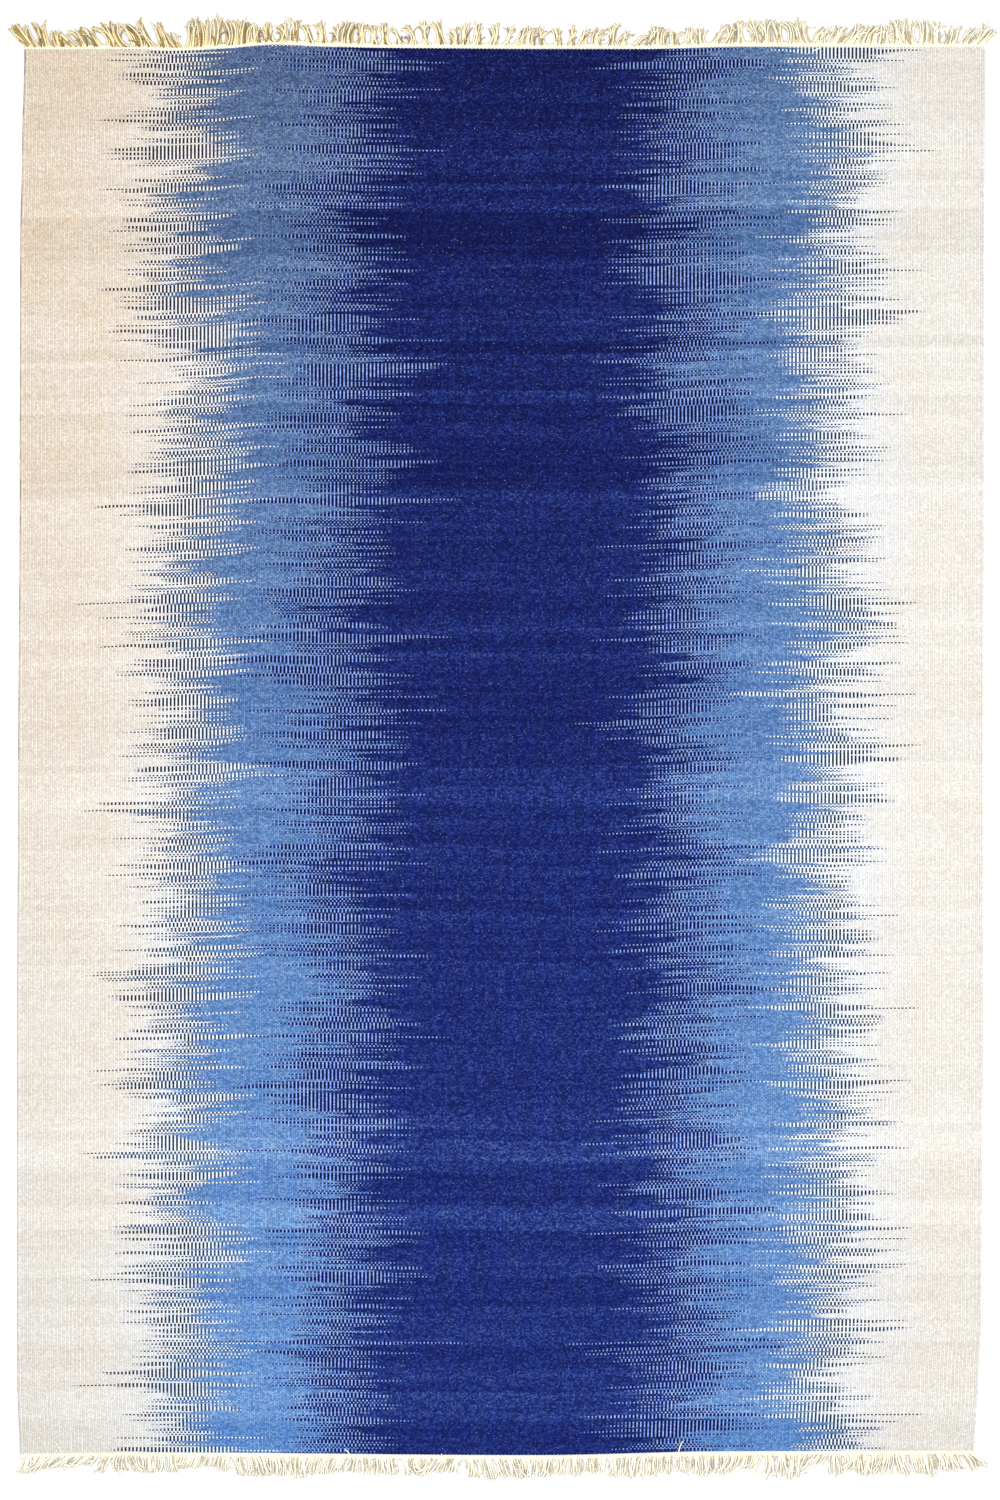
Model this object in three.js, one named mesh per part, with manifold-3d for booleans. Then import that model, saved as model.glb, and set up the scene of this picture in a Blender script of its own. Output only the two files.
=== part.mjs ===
// A flat-woven wool rug with a cotton warp fringe at both ends, lying flat.
// Millimetres: +X runs across the width, +Y along the length to the far fringe, +Z up.
// The origin is the middle of the underside.
import * as THREE from 'three';
import Module from 'manifold-3d';

const library = await Module();
library.setup();

// Driving dimensions of the woven field
const fieldHalfWidth = 612;
const fieldHalfLength = 892;
const clothThickness = 4;
const selvedgeThickness = 4.8;
const selvedgeWidth = 4.4;
const fieldColumns = 24;
const fieldRows = 16;

// Driving dimensions of the cotton end band and its fringe
const partingGap = 0.3;
const bandWidth = 5.5;
const bandThickness = 3.4;
const bandRounding = 1.1;
const tuftsAcross = 73;
const locksInTuft = 2;
const lockSpacing = 6.8;
const lockRootDepth = 1.6;
const lockSteps = 2;
const lockRootWidth = 4.2;
const lockTipWidth = 1.9;
const lockRootHeight = 3;
const lockTipHeight = 1.5;
const lockTopShare = 0.55;
const lockSplay = 7;
const reachChange = 2.4;
const rootLeanShare = 0.6;
const tipLeanShare = 1.2;
const tiltTurn = Math.PI / 180;

// Where the two selvedges lie, at stations along the length
const selvedgeLines = [
  { along: -892, left: -611, right: 601 },
  { along: -799, left: -614, right: 606 },
  { along: -723, left: -614.5, right: 610 },
  { along: -342, left: -614.5, right: 612 },
  { along: 0, left: -613, right: 612.5 },
  { along: 344, left: -611, right: 613 },
  { along: 649, left: -610.5, right: 613.5 },
  { along: 764, left: -608, right: 614 },
  { along: 892, left: -605, right: 615 },
];

// Where the wool stops at each end, at stations across the width
const farEdge = [
  { across: -612, edge: 891 },
  { across: -471, edge: 891 },
  { across: -408, edge: 889.7 },
  { across: -370, edge: 892.2 },
  { across: -294, edge: 897.3 },
  { across: -217, edge: 894.8 },
  { across: -154, edge: 893.5 },
  { across: 50, edge: 892.2 },
  { across: 177, edge: 892.2 },
  { across: 304, edge: 894.8 },
  { across: 612, edge: 893.5 },
];
const nearEdge = [
  { across: -612, edge: -892.2 },
  { across: -471, edge: -891 },
  { across: 50, edge: -894.8 },
  { across: 304, edge: -889.7 },
  { across: 612, edge: -888.4 },
];

// How the warp ends lie: lean is from straight out towards +X, reach is beyond the band
const farFringe = [
  { across: -600, lean: -70, reach: 12 },
  { across: -588, lean: -34, reach: 23 },
  { across: -576, lean: -14, reach: 27 },
  { across: -560, lean: -42, reach: 13 },
  { across: -540, lean: -57, reach: 11 },
  { across: -512, lean: -50, reach: 14 },
  { across: -478, lean: -34, reach: 19 },
  { across: -440, lean: -22, reach: 24 },
  { across: -412, lean: -30, reach: 15 },
  { across: -396, lean: 3, reach: 29 },
  { across: -346, lean: -5, reach: 30 },
  { across: -330, lean: 3, reach: 26 },
  { across: -312, lean: -20, reach: 22 },
  { across: -292, lean: 6, reach: 20 },
  { across: -262, lean: -8, reach: 26 },
  { across: -240, lean: -26, reach: 17 },
  { across: -222, lean: 24, reach: 24 },
  { across: -196, lean: 6, reach: 26 },
  { across: -160, lean: -6, reach: 24 },
  { across: -138, lean: -25, reach: 18 },
  { across: -118, lean: -14, reach: 27 },
  { across: -92, lean: 4, reach: 26 },
  { across: -58, lean: -12, reach: 24 },
  { across: -30, lean: 8, reach: 26 },
  { across: 16, lean: 30, reach: 21 },
  { across: 40, lean: 2, reach: 23 },
  { across: 74, lean: -10, reach: 22 },
  { across: 104, lean: 32, reach: 17 },
  { across: 134, lean: 14, reach: 22 },
  { across: 166, lean: 44, reach: 12 },
  { across: 190, lean: 8, reach: 20 },
  { across: 236, lean: -14, reach: 17 },
  { across: 268, lean: 22, reach: 21 },
  { across: 306, lean: -4, reach: 28 },
  { across: 352, lean: -6, reach: 29 },
  { across: 386, lean: -14, reach: 27 },
  { across: 408, lean: 30, reach: 21 },
  { across: 452, lean: 30, reach: 23 },
  { across: 482, lean: 10, reach: 20 },
  { across: 506, lean: -8, reach: 28 },
  { across: 552, lean: -4, reach: 28 },
  { across: 572, lean: 42, reach: 15 },
  { across: 602, lean: 66, reach: 12 },
];
const nearFringe = [
  { across: -606, lean: -32, reach: 21 },
  { across: -584, lean: -38, reach: 19 },
  { across: -548, lean: -46, reach: 15 },
  { across: -512, lean: -54, reach: 11 },
  { across: -490, lean: 4, reach: 21 },
  { across: -462, lean: 10, reach: 20 },
  { across: -424, lean: -4, reach: 18 },
  { across: -392, lean: -26, reach: 15 },
  { across: -360, lean: -30, reach: 12 },
  { across: -338, lean: 18, reach: 22 },
  { across: -300, lean: 16, reach: 23 },
  { across: -264, lean: 10, reach: 23 },
  { across: -236, lean: -20, reach: 21 },
  { across: -196, lean: -28, reach: 18 },
  { across: -156, lean: 6, reach: 19 },
  { across: -118, lean: 20, reach: 20 },
  { across: -86, lean: -22, reach: 21 },
  { across: -56, lean: -30, reach: 16 },
  { across: -30, lean: 10, reach: 21 },
  { across: 8, lean: 20, reach: 23 },
  { across: 46, lean: -12, reach: 22 },
  { across: 92, lean: -4, reach: 18 },
  { across: 128, lean: -18, reach: 15 },
  { across: 150, lean: 6, reach: 23 },
  { across: 206, lean: -4, reach: 23 },
  { across: 238, lean: 14, reach: 21 },
  { across: 284, lean: -10, reach: 22 },
  { across: 322, lean: -34, reach: 15 },
  { across: 350, lean: 4, reach: 26 },
  { across: 392, lean: -16, reach: 24 },
  { across: 416, lean: -42, reach: 13 },
  { across: 432, lean: -6, reach: 23 },
  { across: 462, lean: 0, reach: 24 },
  { across: 496, lean: -14, reach: 23 },
  { across: 512, lean: 8, reach: 23 },
  { across: 548, lean: 2, reach: 23 },
  { across: 572, lean: 26, reach: 17 },
  { across: 602, lean: 52, reach: 15 },
];

// Reads one column of a table at a place, eased from row to row
function readTable(table, station, place, column) {
  const next = table.findIndex((row) => row[station] > place);
  if (next === 0) {
    return table[0][column];
  }
  if (next < 0) {
    return table[table.length - 1][column];
  }
  const after = table[next];
  const before = table[next - 1];
  const share = THREE.MathUtils.smoothstep(place, before[station], after[station]);
  return THREE.MathUtils.lerp(before[column], after[column], share);
}

// A repeatable number from -1 to 1 for each whole number
function scatter(number) {
  const wave = Math.sin(number * 12.9898 + 78.233) * 43758.5453;
  return 2 * (wave - Math.floor(wave)) - 1;
}

// A point of the flat cloth, by its share of the width and of the length
function clothPoint(acrossShare, alongShare) {
  const along = THREE.MathUtils.lerp(-fieldHalfLength, fieldHalfLength, alongShare);
  const across = THREE.MathUtils.lerp(-fieldHalfWidth, fieldHalfWidth, acrossShare);
  const left = readTable(selvedgeLines, 'along', along, 'left');
  const right = readTable(selvedgeLines, 'along', along, 'right');
  const near = readTable(nearEdge, 'across', across, 'edge');
  const far = readTable(farEdge, 'across', across, 'edge');
  return new THREE.Vector2(
    THREE.MathUtils.lerp(left, right, acrossShare),
    THREE.MathUtils.lerp(near, far, alongShare),
  );
}

// Makes a geometry from rings of points, joined ring to ring and closed at both ends
function loftRings(rings) {
  const positions = rings.flat().flatMap((point) => point.toArray());
  const faces = [];
  const count = rings[0].length;
  for (let ring = 0; ring < rings.length - 1; ring += 1) {
    for (let corner = 0; corner < count; corner += 1) {
      const a = ring * count + corner;
      const b = ring * count + ((corner + 1) % count);
      faces.push(a, b, b + count, a, b + count, a + count);
    }
  }
  const last = (rings.length - 1) * count;
  for (let corner = 1; corner < count - 1; corner += 1) {
    faces.push(0, corner + 1, corner);
    faces.push(last, last + corner, last + corner + 1);
  }
  const geometry = new THREE.BufferGeometry();
  geometry.setAttribute('position', new THREE.Float32BufferAttribute(positions, 3));
  geometry.setIndex(faces);
  return geometry;
}

// The profile of the cloth beside a selvedge: how far in, and the heights there
const selvedgeProfile = [
  { inward: 0, bottom: 1.5, top: 2.9 },
  { inward: 0.7, bottom: 0.4, top: 4.2 },
  { inward: 0.5 * selvedgeWidth, bottom: 0, top: selvedgeThickness },
  { inward: 0.85 * selvedgeWidth, bottom: 0, top: 4.3 },
  { inward: selvedgeWidth, bottom: 0, top: clothThickness - 0.5 },
  { inward: 1.6 * selvedgeWidth, bottom: 0, top: clothThickness },
];

// The columns of the field: a share of the width, a distance in from it, and two heights
function fieldColumnList() {
  const columns = [];
  for (const row of selvedgeProfile) {
    columns.push({ share: 0, inward: row.inward, bottom: row.bottom, top: row.top });
  }
  for (let step = 1; step < fieldColumns; step += 1) {
    columns.push({ share: step / fieldColumns, inward: 0, bottom: 0, top: clothThickness });
  }
  for (const row of [...selvedgeProfile].reverse()) {
    columns.push({ share: 1, inward: -row.inward, bottom: row.bottom, top: row.top });
  }
  return columns;
}

// The woven wool field: an upper and a lower sheet of the same grid, with a wall round them
function makeField() {
  const columns = fieldColumnList();
  const lower = [];
  const upper = [];
  for (let row = 0; row <= fieldRows; row += 1) {
    for (const column of columns) {
      const place = clothPoint(column.share, row / fieldRows);
      lower.push(place.x + column.inward, place.y, column.bottom);
      upper.push(place.x + column.inward, place.y, column.top);
    }
  }
  const width = columns.length;
  const sheet = width * (fieldRows + 1);
  const faces = [];
  for (let row = 0; row < fieldRows; row += 1) {
    for (let column = 0; column < width - 1; column += 1) {
      const a = row * width + column;
      const c = a + width + 1;
      faces.push(a, c, a + 1, a, a + width, c);
      faces.push(sheet + a, sheet + a + 1, sheet + c, sheet + a, sheet + c, sheet + a + width);
    }
  }
  const rim = [];
  for (let column = 0; column < width - 1; column += 1) {
    rim.push(column);
  }
  for (let row = 0; row < fieldRows; row += 1) {
    rim.push(row * width + width - 1);
  }
  for (let column = width - 1; column > 0; column -= 1) {
    rim.push(fieldRows * width + column);
  }
  for (let row = fieldRows; row > 0; row -= 1) {
    rim.push(row * width);
  }
  rim.forEach((a, step) => {
    const b = rim[(step + 1) % rim.length];
    faces.push(a, b, sheet + b, a, sheet + b, sheet + a);
  });
  const geometry = new THREE.BufferGeometry();
  geometry.setAttribute('position', new THREE.Float32BufferAttribute([...lower, ...upper], 3));
  geometry.setIndex(faces);
  return geometry;
}

// The cotton end band, lofted across the width beside one end of the wool
function makeBand(end) {
  const profile = [
    { out: 0, up: 0 },
    { out: bandWidth, up: 0 },
    { out: bandWidth, up: bandThickness - bandRounding },
    { out: bandWidth - bandRounding, up: bandThickness },
    { out: bandRounding, up: bandThickness },
    { out: 0, up: bandThickness - bandRounding },
  ];
  const rings = [];
  for (let step = 0; step <= fieldColumns; step += 1) {
    const edge = clothPoint(step / fieldColumns, end.side > 0 ? 1 : 0);
    const ring = profile.map(({ out, up }) => {
      return new THREE.Vector3(edge.x, edge.y + end.side * (partingGap + out), up);
    });
    rings.push(end.side > 0 ? ring : ring.reverse());
  }
  return loftRings(rings);
}

// One lock of warp ends: it leaves the band, bends over by its lean and rests level
function makeLock(root, side, lean, reach) {
  const path = [new THREE.Vector2(root.x, root.y - side * lockRootDepth)];
  const place = root.clone();
  for (let step = 0; step <= lockSteps; step += 1) {
    path.push(place.clone());
    const bend = THREE.MathUtils.lerp(rootLeanShare, tipLeanShare, step / lockSteps);
    place.x += (Math.tan(lean * bend * tiltTurn) * reach) / lockSteps;
    place.y += (side * reach) / lockSteps;
  }
  const rings = path.map((point, index) => {
    const share = Math.max(0, index - 1) / lockSteps;
    const before = path[Math.max(0, index - 1)];
    const after = path[Math.min(path.length - 1, index + 1)];
    const course = after.clone().sub(before).normalize();
    const halfWidth = THREE.MathUtils.lerp(lockRootWidth, lockTipWidth, share) / 2;
    const height = THREE.MathUtils.lerp(lockRootHeight, lockTipHeight, share);
    const across = new THREE.Vector2(course.y, -course.x).multiplyScalar(halfWidth);
    const corner = (width, up) => {
      return new THREE.Vector3(point.x + across.x * width, point.y + across.y * width, up);
    };
    return [corner(-1, 0), corner(-lockTopShare, height), corner(lockTopShare, height), corner(1, 0)];
  });
  return loftRings(rings);
}

// A closed geometry as a solid for joining
function toSolid(geometry) {
  return new library.Manifold(new library.Mesh({
    numProp: 3,
    vertProperties: new Float32Array(geometry.attributes.position.array),
    triVerts: new Uint32Array(geometry.index.array),
  }));
}

// A joined solid as a geometry again
function toGeometry(solid) {
  const mesh = solid.getMesh();
  const geometry = new THREE.BufferGeometry();
  geometry.setAttribute('position', new THREE.BufferAttribute(mesh.vertProperties, 3));
  geometry.setIndex(new THREE.BufferAttribute(mesh.triVerts, 1));
  return geometry;
}

// The end band with all its locks fused on by their roots
function makeFringe(end) {
  let solid = toSolid(makeBand(end));
  for (let tuft = 0; tuft < tuftsAcross; tuft += 1) {
    for (let lock = 0; lock < locksInTuft; lock += 1) {
      const number = tuft * locksInTuft + lock + end.seed;
      const lockSide = lock === 0 ? -1 : 1;
      const middle = (tuft + 0.5) / tuftsAcross;
      const share = middle + (lockSide * lockSpacing) / (4 * fieldHalfWidth);
      const edge = clothPoint(share, end.side > 0 ? 1 : 0);
      const across = THREE.MathUtils.lerp(-fieldHalfWidth, fieldHalfWidth, share);
      const lean = readTable(end.table, 'across', across, 'lean') + lockSide * lockSplay / 2;
      const reach = readTable(end.table, 'across', across, 'reach') + reachChange * scatter(number);
      const root = new THREE.Vector2(edge.x, edge.y + end.side * (partingGap + bandWidth));
      solid = solid.add(toSolid(makeLock(root, end.side, lean, reach)));
    }
  }
  return toGeometry(solid);
}

// One named piece of the rug with its own material
function makePiece(name, geometry, colour) {
  const material = new THREE.MeshStandardMaterial({ color: colour, roughness: 0.95, metalness: 0 });
  const mesh = new THREE.Mesh(geometry, material);
  mesh.name = name;
  return mesh;
}

const rug = new THREE.Group();
rug.add(makePiece('woven_field', makeField(), 0x41629f));
rug.add(makePiece('fringe_far', makeFringe({ side: 1, seed: 0, table: farFringe }), 0xf3e4c4));
rug.add(makePiece('fringe_near', makeFringe({ side: -1, seed: 500, table: nearFringe }), 0xf6ead0));

export default rug;
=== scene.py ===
# %% [markdown]
# # A flat-woven ikat rug, thread by thread
# A dhurrie is a flat rug: a cotton warp is stretched on the loom, and a wool weft is carried
# back and forth through it and beaten down until it hides the warp. Here the wool was tied
# and dyed in lengths before it was woven, so its colours change along the yarn. The packed
# model gives the size and place of each piece, and everything below dresses it.

# %% Load the frame
import math
import random
import bpy
import numpy as np
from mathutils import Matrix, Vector


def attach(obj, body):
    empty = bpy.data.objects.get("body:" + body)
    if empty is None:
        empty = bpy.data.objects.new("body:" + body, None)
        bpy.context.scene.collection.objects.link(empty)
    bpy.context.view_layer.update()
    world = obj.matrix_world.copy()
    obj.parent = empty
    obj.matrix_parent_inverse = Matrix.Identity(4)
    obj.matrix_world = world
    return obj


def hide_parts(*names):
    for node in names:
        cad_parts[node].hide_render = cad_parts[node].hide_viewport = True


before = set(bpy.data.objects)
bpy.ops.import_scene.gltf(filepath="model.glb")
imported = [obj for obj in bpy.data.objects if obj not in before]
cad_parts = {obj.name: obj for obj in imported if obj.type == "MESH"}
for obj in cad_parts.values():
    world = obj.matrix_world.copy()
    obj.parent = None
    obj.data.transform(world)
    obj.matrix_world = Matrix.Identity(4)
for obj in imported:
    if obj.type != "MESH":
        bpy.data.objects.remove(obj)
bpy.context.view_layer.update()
mm = 0.001

# %% [markdown]
# ## The camera
# The rug was photographed from straight above, so the camera looks down on its middle. A long
# lens from high up keeps the sides as straight as they are there. One size sets it all: how
# many millimetres of floor a pixel of the photograph covers.

# %% Camera
photo_high_px = 1500
photo_middle_px = (500, 750)
rug_middle_px = (501, 751)
floor_per_pixel = 1.271 * mm
# The height of the camera in metres, and the long side of its sensor in millimetres
camera_height = 4.5
sensor_height = 36

camera_data = bpy.data.cameras.new("camera_above")
camera_data.lens = sensor_height * camera_height / (photo_high_px * floor_per_pixel)
camera_data.clip_end = 50
camera = bpy.data.objects.new("camera_above", camera_data)
camera.location = (
    (photo_middle_px[0] - rug_middle_px[0]) * floor_per_pixel,
    (rug_middle_px[1] - photo_middle_px[1]) * floor_per_pixel,
    camera_height,
)
bpy.context.scene.collection.objects.link(camera)
bpy.context.scene.camera = camera
print("lens:", round(camera_data.lens, 1), "mm")

# %% [markdown]
# ## The outline of the cloth
# No hand-woven rug is a true rectangle. The weft pulls in more in one place than in another,
# so the selvedges bow, and the ends are beaten a few millimetres out of line. A noise could
# bend them, but not where this rug bends, so short tables hold where they lie, in millimetres
# from the middle.

# %% Outline tables
cloth_half_width = 612
cloth_half_length = 892
# Rows of: place along the length, left selvedge, right selvedge
selvedges = [
    (-892, -611, 601),
    (-799, -614, 606),
    (-723, -614.5, 610),
    (-342, -614.5, 612),
    (0, -613, 612.5),
    (344, -611, 613),
    (649, -610.5, 613.5),
    (764, -608, 614),
    (892, -605, 615),
]
# Rows of: place across the width, where the wool stops
far_edge = [
    (-612, 891),
    (-471, 891),
    (-408, 889.7),
    (-370, 892.2),
    (-294, 897.3),
    (-217, 894.8),
    (-154, 893.5),
    (50, 892.2),
    (177, 892.2),
    (304, 894.8),
    (612, 893.5),
]
near_edge = [
    (-612, -892.2),
    (-471, -891),
    (50, -894.8),
    (304, -889.7),
    (612, -888.4),
]
print("cloth:", 2 * cloth_half_width, "by", 2 * cloth_half_length, "mm on the loom")

# %% [markdown]
# ## From the loom to the floor
# On the loom the warp is straight and every place is easy to name: so far across, so far
# along. A point of the finished cloth is found by reading the tables there, with a smooth
# step between their rows. The weft isn't beaten in quite square either. It runs a few
# millimetres askew, and straight at the ends, so a table of its own says how far it rises.

# %% Places on the cloth
# Rows of: place across the width, how far the weft rises towards +Y there in the far half,
# in the middle and in the near half
weft_rise = [
    (-612, -12, -9, -4.5),
    (-410, -5.5, -4.5, -1.5),
    (-300, -1.8, -1.5, 0.3),
    (-60, 1, 1.1, 0.4),
    (50, 0.5, 0.7, -2),
    (203, 2, 3.7, 0.4),
    (291, 4.8, 5.8, 3),
    (390, 6.5, 3.3, 1.8),
    (612, 9.5, 3.2, 3.5),
]


def read_table(table, place, column=1):
    """A column of a table at a place, or at many, eased from row to row."""
    rows = np.array(table, float)
    place = np.clip(np.asarray(place, float), rows[0, 0], rows[-1, 0])
    after = np.clip(np.searchsorted(rows[:, 0], place, side="right"), 1, len(rows) - 1)
    share = (place - rows[after - 1, 0]) / (rows[after, 0] - rows[after - 1, 0])
    share = share * share * (3 - 2 * share)
    return rows[after - 1, column] * (1 - share) + rows[after, column] * share


def weft_lift(across, along):
    """How far the weft lies towards +Y of a straight line, in millimetres."""
    share = np.asarray(along) / cloth_half_length
    lift = 0
    for column, middle in ((1, 0.5), (2, 0), (3, -0.5)):
        there = np.interp(share, (middle - 0.5, middle, middle + 0.5), (0, 1, 0))
        lift = lift + read_table(weft_rise, across, column) * there
    return lift


def cloth_point(across, along):
    """Where a point of the cloth lies, from its places across and along, in millimetres."""
    across_share = (across + cloth_half_width) / (2 * cloth_half_width)
    along_share = (along + cloth_half_length) / (2 * cloth_half_length)
    left, right = (read_table(selvedges, along, column) for column in (1, 2))
    near, far = read_table(near_edge, across), read_table(far_edge, across)
    y = near + (far - near) * along_share + weft_lift(across, along)
    return left + (right - left) * across_share, y


middle_sides = [cloth_point(side * cloth_half_width, 0)[0] for side in (-1, 1)]
print("width across the middle:", float(np.ptp(middle_sides)), "mm")

# %% [markdown]
# ## A rug never lies dead flat
# It stays a little wavy where the weft pulls. A cloth simulation could find such waves, but
# here they are under a millimetre high, so two sums of sines are enough. Their wavelengths
# share no measure, so the waves don't line up.

# %% Low waves
# How high the cloth lies off the floor on average, and what its broad and short waves add
mean_lie, broad_wave, short_wave = 0.3, 0.2, 0.1


def cockle(x, y):
    """How far the cloth stands off the floor at a point, all in millimetres."""
    broad = np.sin(x / 71 + 1.3 * np.sin(y / 190)) * np.sin(y / 97 + 0.6)
    short = np.sin(x / 37 + y / 61 + 2.1) * np.sin(y / 43 - x / 83)
    return mean_lie + broad_wave * broad + short_wave * short


print("highest off the floor:", round(mean_lie + broad_wave + short_wave, 1), "mm")

# %% [markdown]
# ## How ikat yarn lands in the cloth
# The dyer ties bundles of yarn so that every pick, one crossing of the weft, should start its
# colours at the same places. It never does. The yarn runs left to right, then right to left, so
# an error in the length of the yarn moves a colour edge to the right in one pick and to the
# left in the next. Each warp column shows every other pick, and its neighbour the picks in
# between, so such errors turn a straight edge into spindles of upright stripes that end in
# rows of dots. Most of the error lasts for a batch of a few picks, until the weaver pulls the
# yarn true, which makes the spindles short. Some of it belongs to one journey there and back,
# and a little keeps on.

# %% Errors of the yarn
# A float is as wide as the warp ends are apart, and as long as two picks are high
float_width = 2.4
float_length = 1.8
pick_rise = float_length / 2
row_count = int(2 * cloth_half_length / pick_rise)
pick_count = row_count + 2
batch_part, journey_part, slow_part = 0.62, 0.26, 0.12
shortest_batch, longest_batch = 3, 6
# How much of a slow error each pick takes over from the last
slow_kept = 0.965
weaver = np.random.default_rng(7)


def drift(step, size):
    """A smooth wander: a new target each so many picks, with an eased walk between them."""
    targets = weaver.normal(0, size, pick_count // step + 3)
    picks = np.arange(pick_count)
    share = (picks % step) / step
    share = share * share * (3 - 2 * share)
    first = targets[picks // step]
    return first + (targets[picks // step + 1] - first) * share


def kept_error(kept):
    """An error that each pick takes over from the last, less what the weaver corrects."""
    error = weaver.normal(0, 1, pick_count)
    for pick in range(1, pick_count):
        error[pick] = kept * error[pick - 1] + math.sqrt(1 - kept ** 2) * error[pick]
    return error


def batch_error():
    """An error that lasts for a batch of a few picks."""
    error = np.zeros(pick_count)
    first = 0
    while first < pick_count:
        last = first + int(weaver.integers(shortest_batch, longest_batch + 1))
        error[first:last] = weaver.normal()
        first = last
    return error


def yarn_error():
    """The error of the yarn in each pick: of its batch, of its journey and one that keeps on."""
    journeys = weaver.normal(0, 1, pick_count)[(np.arange(pick_count) + 1) // 2]
    return (
        math.sqrt(batch_part) * batch_error()
        + math.sqrt(journey_part) * journeys
        + math.sqrt(slow_part) * kept_error(slow_kept)
    )


print("picks:", pick_count)

# %% [markdown]
# ## Four edges, each tied by hand
# A noise in the material knows nothing of picks and couldn't draw such spindles, so the edges
# are worked out pick by pick, from a fixed seed. Each of the four has errors of its own,
# because each was tied by hand. Where both kinds of pick move together, a solid tongue of
# colour runs out.

# %% Where the colours change in each pick
# Rows of: place of the edge across the rug, usual error of the yarn there, how far both
# kinds of pick move together from pick to pick, and how far they do so slowly
dye_edges = [
    (-400, 47, 8, 14),
    (-206, 54, 11, 12),
    (243, 53, 11, 12),
    (421, 43, 9, 13),
]
together_kept = 0.96
# Over how many picks the dyed middle grows broader or narrower, and by how much
breadth_picks, breadth_change = 80, 5
# The part of the error that all four edges have in common
shared_error = 0.35
# What one pick's own error adds, and the power that draws all errors towards the usual one
pick_error, error_power = 0.1, 0.8


def dye_places():
    """Where each of the four colour edges lies in each pick, in millimetres across the rug."""
    direction = np.where(np.arange(pick_count) % 2 == 0, 1, -1)
    shared, breadth = yarn_error(), drift(breadth_picks, breadth_change)
    places = []
    for place, size, jitter, wander in dye_edges:
        error = math.sqrt(shared_error) * shared + math.sqrt(1 - shared_error) * yarn_error()
        amount = np.abs(error + pick_error * weaver.normal(0, 1, pick_count))
        error = np.sign(error) * amount ** error_power
        together = wander * kept_error(together_kept) + weaver.normal(0, jitter, pick_count)
        together += breadth * (1 if place > 0 else -1)
        places.append(place + together + direction * size * error)
    return np.stack(places, -1)


pick_edges = dye_places()
# The half floats at both ends are undyed: there the cotton of the end bands shows between
pick_edges[[0, row_count]] = 3 * cloth_half_width
print("spread of the edges:", pick_edges[1:row_count].std(0).round(1), "mm")

# %% [markdown]
# ## How deep the dye is
# Yarn is dyed a hank at a time, and no two hanks come out of the vat alike, so the depth of the
# dye steps from hank to hank. It also changes slowly along a hank, and a little in each pick.

# %% Depth of the dye in each pick
shortest_hank, longest_hank = 6, 47
hank_change, pick_change = 0.04, 0.02
# Over how many picks the depth drifts, and by how much: a slow change and a quicker one
slow_change, quick_change = (40, 0.02), (7, 0.03)


def dye_depths():
    """The power to which each pick's colour is raised, about 1."""
    depth = 1 + drift(*slow_change) + drift(*quick_change)
    depth = depth + weaver.normal(0, pick_change, pick_count)
    pick = 0
    while pick < pick_count:
        hank = int(weaver.integers(shortest_hank, longest_hank + 1))
        depth[pick:pick + hank] += weaver.normal(0, hank_change)
        pick += hank
    return depth


pick_depth = dye_depths()
print("depth of the dye:", pick_depth.min().round(2), "to", pick_depth.max().round(2))

# %% [markdown]
# ## The woven field
# The cloth is one closed sheet 4 mm thick with a round selvedge at both sides, where the weft
# turns back over a doubled edge warp. A solidified plane would give it a sharp edge, so its
# cross-section is drawn once and carried along the length. Triangles between the edges of
# face and underside close both ends, like a zip, because one flat face would cut across the
# wavy end of the cloth and show through it.

# %% Cross-section of the cloth
cloth_thick = 4
# Rows of: distance in from the selvedge, height of the underside, height of the face
selvedge_section = [
    (0.0, 1.6, 2.9),
    (0.35, 0.9, 3.7),
    (1.1, 0.25, 4.45),
    (2.2, 0.0, 4.7),
    (3.3, 0.0, 4.35),
    (4.3, 0.0, 3.75),
    (6.5, 0.0, 4.0),
]
# The underside is level from the fourth row on
rounded_rows = 4
face_columns = 20
underside_columns = 4


def section_points():
    """The cross-section as a ring: place across, distance in, height, first over then under."""
    over = [(-1, inward, top) for inward, _, top in selvedge_section]
    steps = [2 * step / face_columns - 1 for step in range(1, face_columns)]
    over += [(step, 0, cloth_thick) for step in steps]
    over += [(1, -inward, top) for inward, _, top in reversed(selvedge_section)]
    rounded = selvedge_section[:rounded_rows]
    under = [(1, -inward, bottom) for inward, bottom, _ in rounded]
    steps = [1 - 2 * step / underside_columns for step in range(1, underside_columns)]
    under += [(step, 0, 0) for step in steps]
    under += [(-1, inward, bottom) for inward, bottom, _ in reversed(rounded)]
    return np.array(over + under, float)


def end_cap(section):
    """Triangles that close the near end: a zip between the edges of the face and underside."""
    place = section[:, 0] * cloth_half_width + section[:, 1]
    over_count = 2 * len(selvedge_section) + face_columns - 1
    over, under = list(range(over_count)), list(reversed(range(over_count, len(section))))
    triangles = []
    while len(over) + len(under) > 2:
        if len(under) == 1 or (len(over) > 1 and place[over[1]] < place[under[1]]):
            triangles.append((over[1], over[0], under[0]))
            over.pop(0)
        else:
            triangles.append((over[0], under[0], under[1]))
            under.pop(0)
    return triangles


cloth_section = section_points()
near_cap = end_cap(cloth_section)
print("points round the cloth:", len(cloth_section), "triangles at each end:", len(near_cap))

# %% [markdown]
# ## A row of faces for each half float
# Even and odd columns of the warp show different picks, so a row of faces one pick high holds
# the shifts and the depths of two picks. A UV map keeps the loom's own places, as they were
# before the cloth was pulled out of true.

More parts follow.
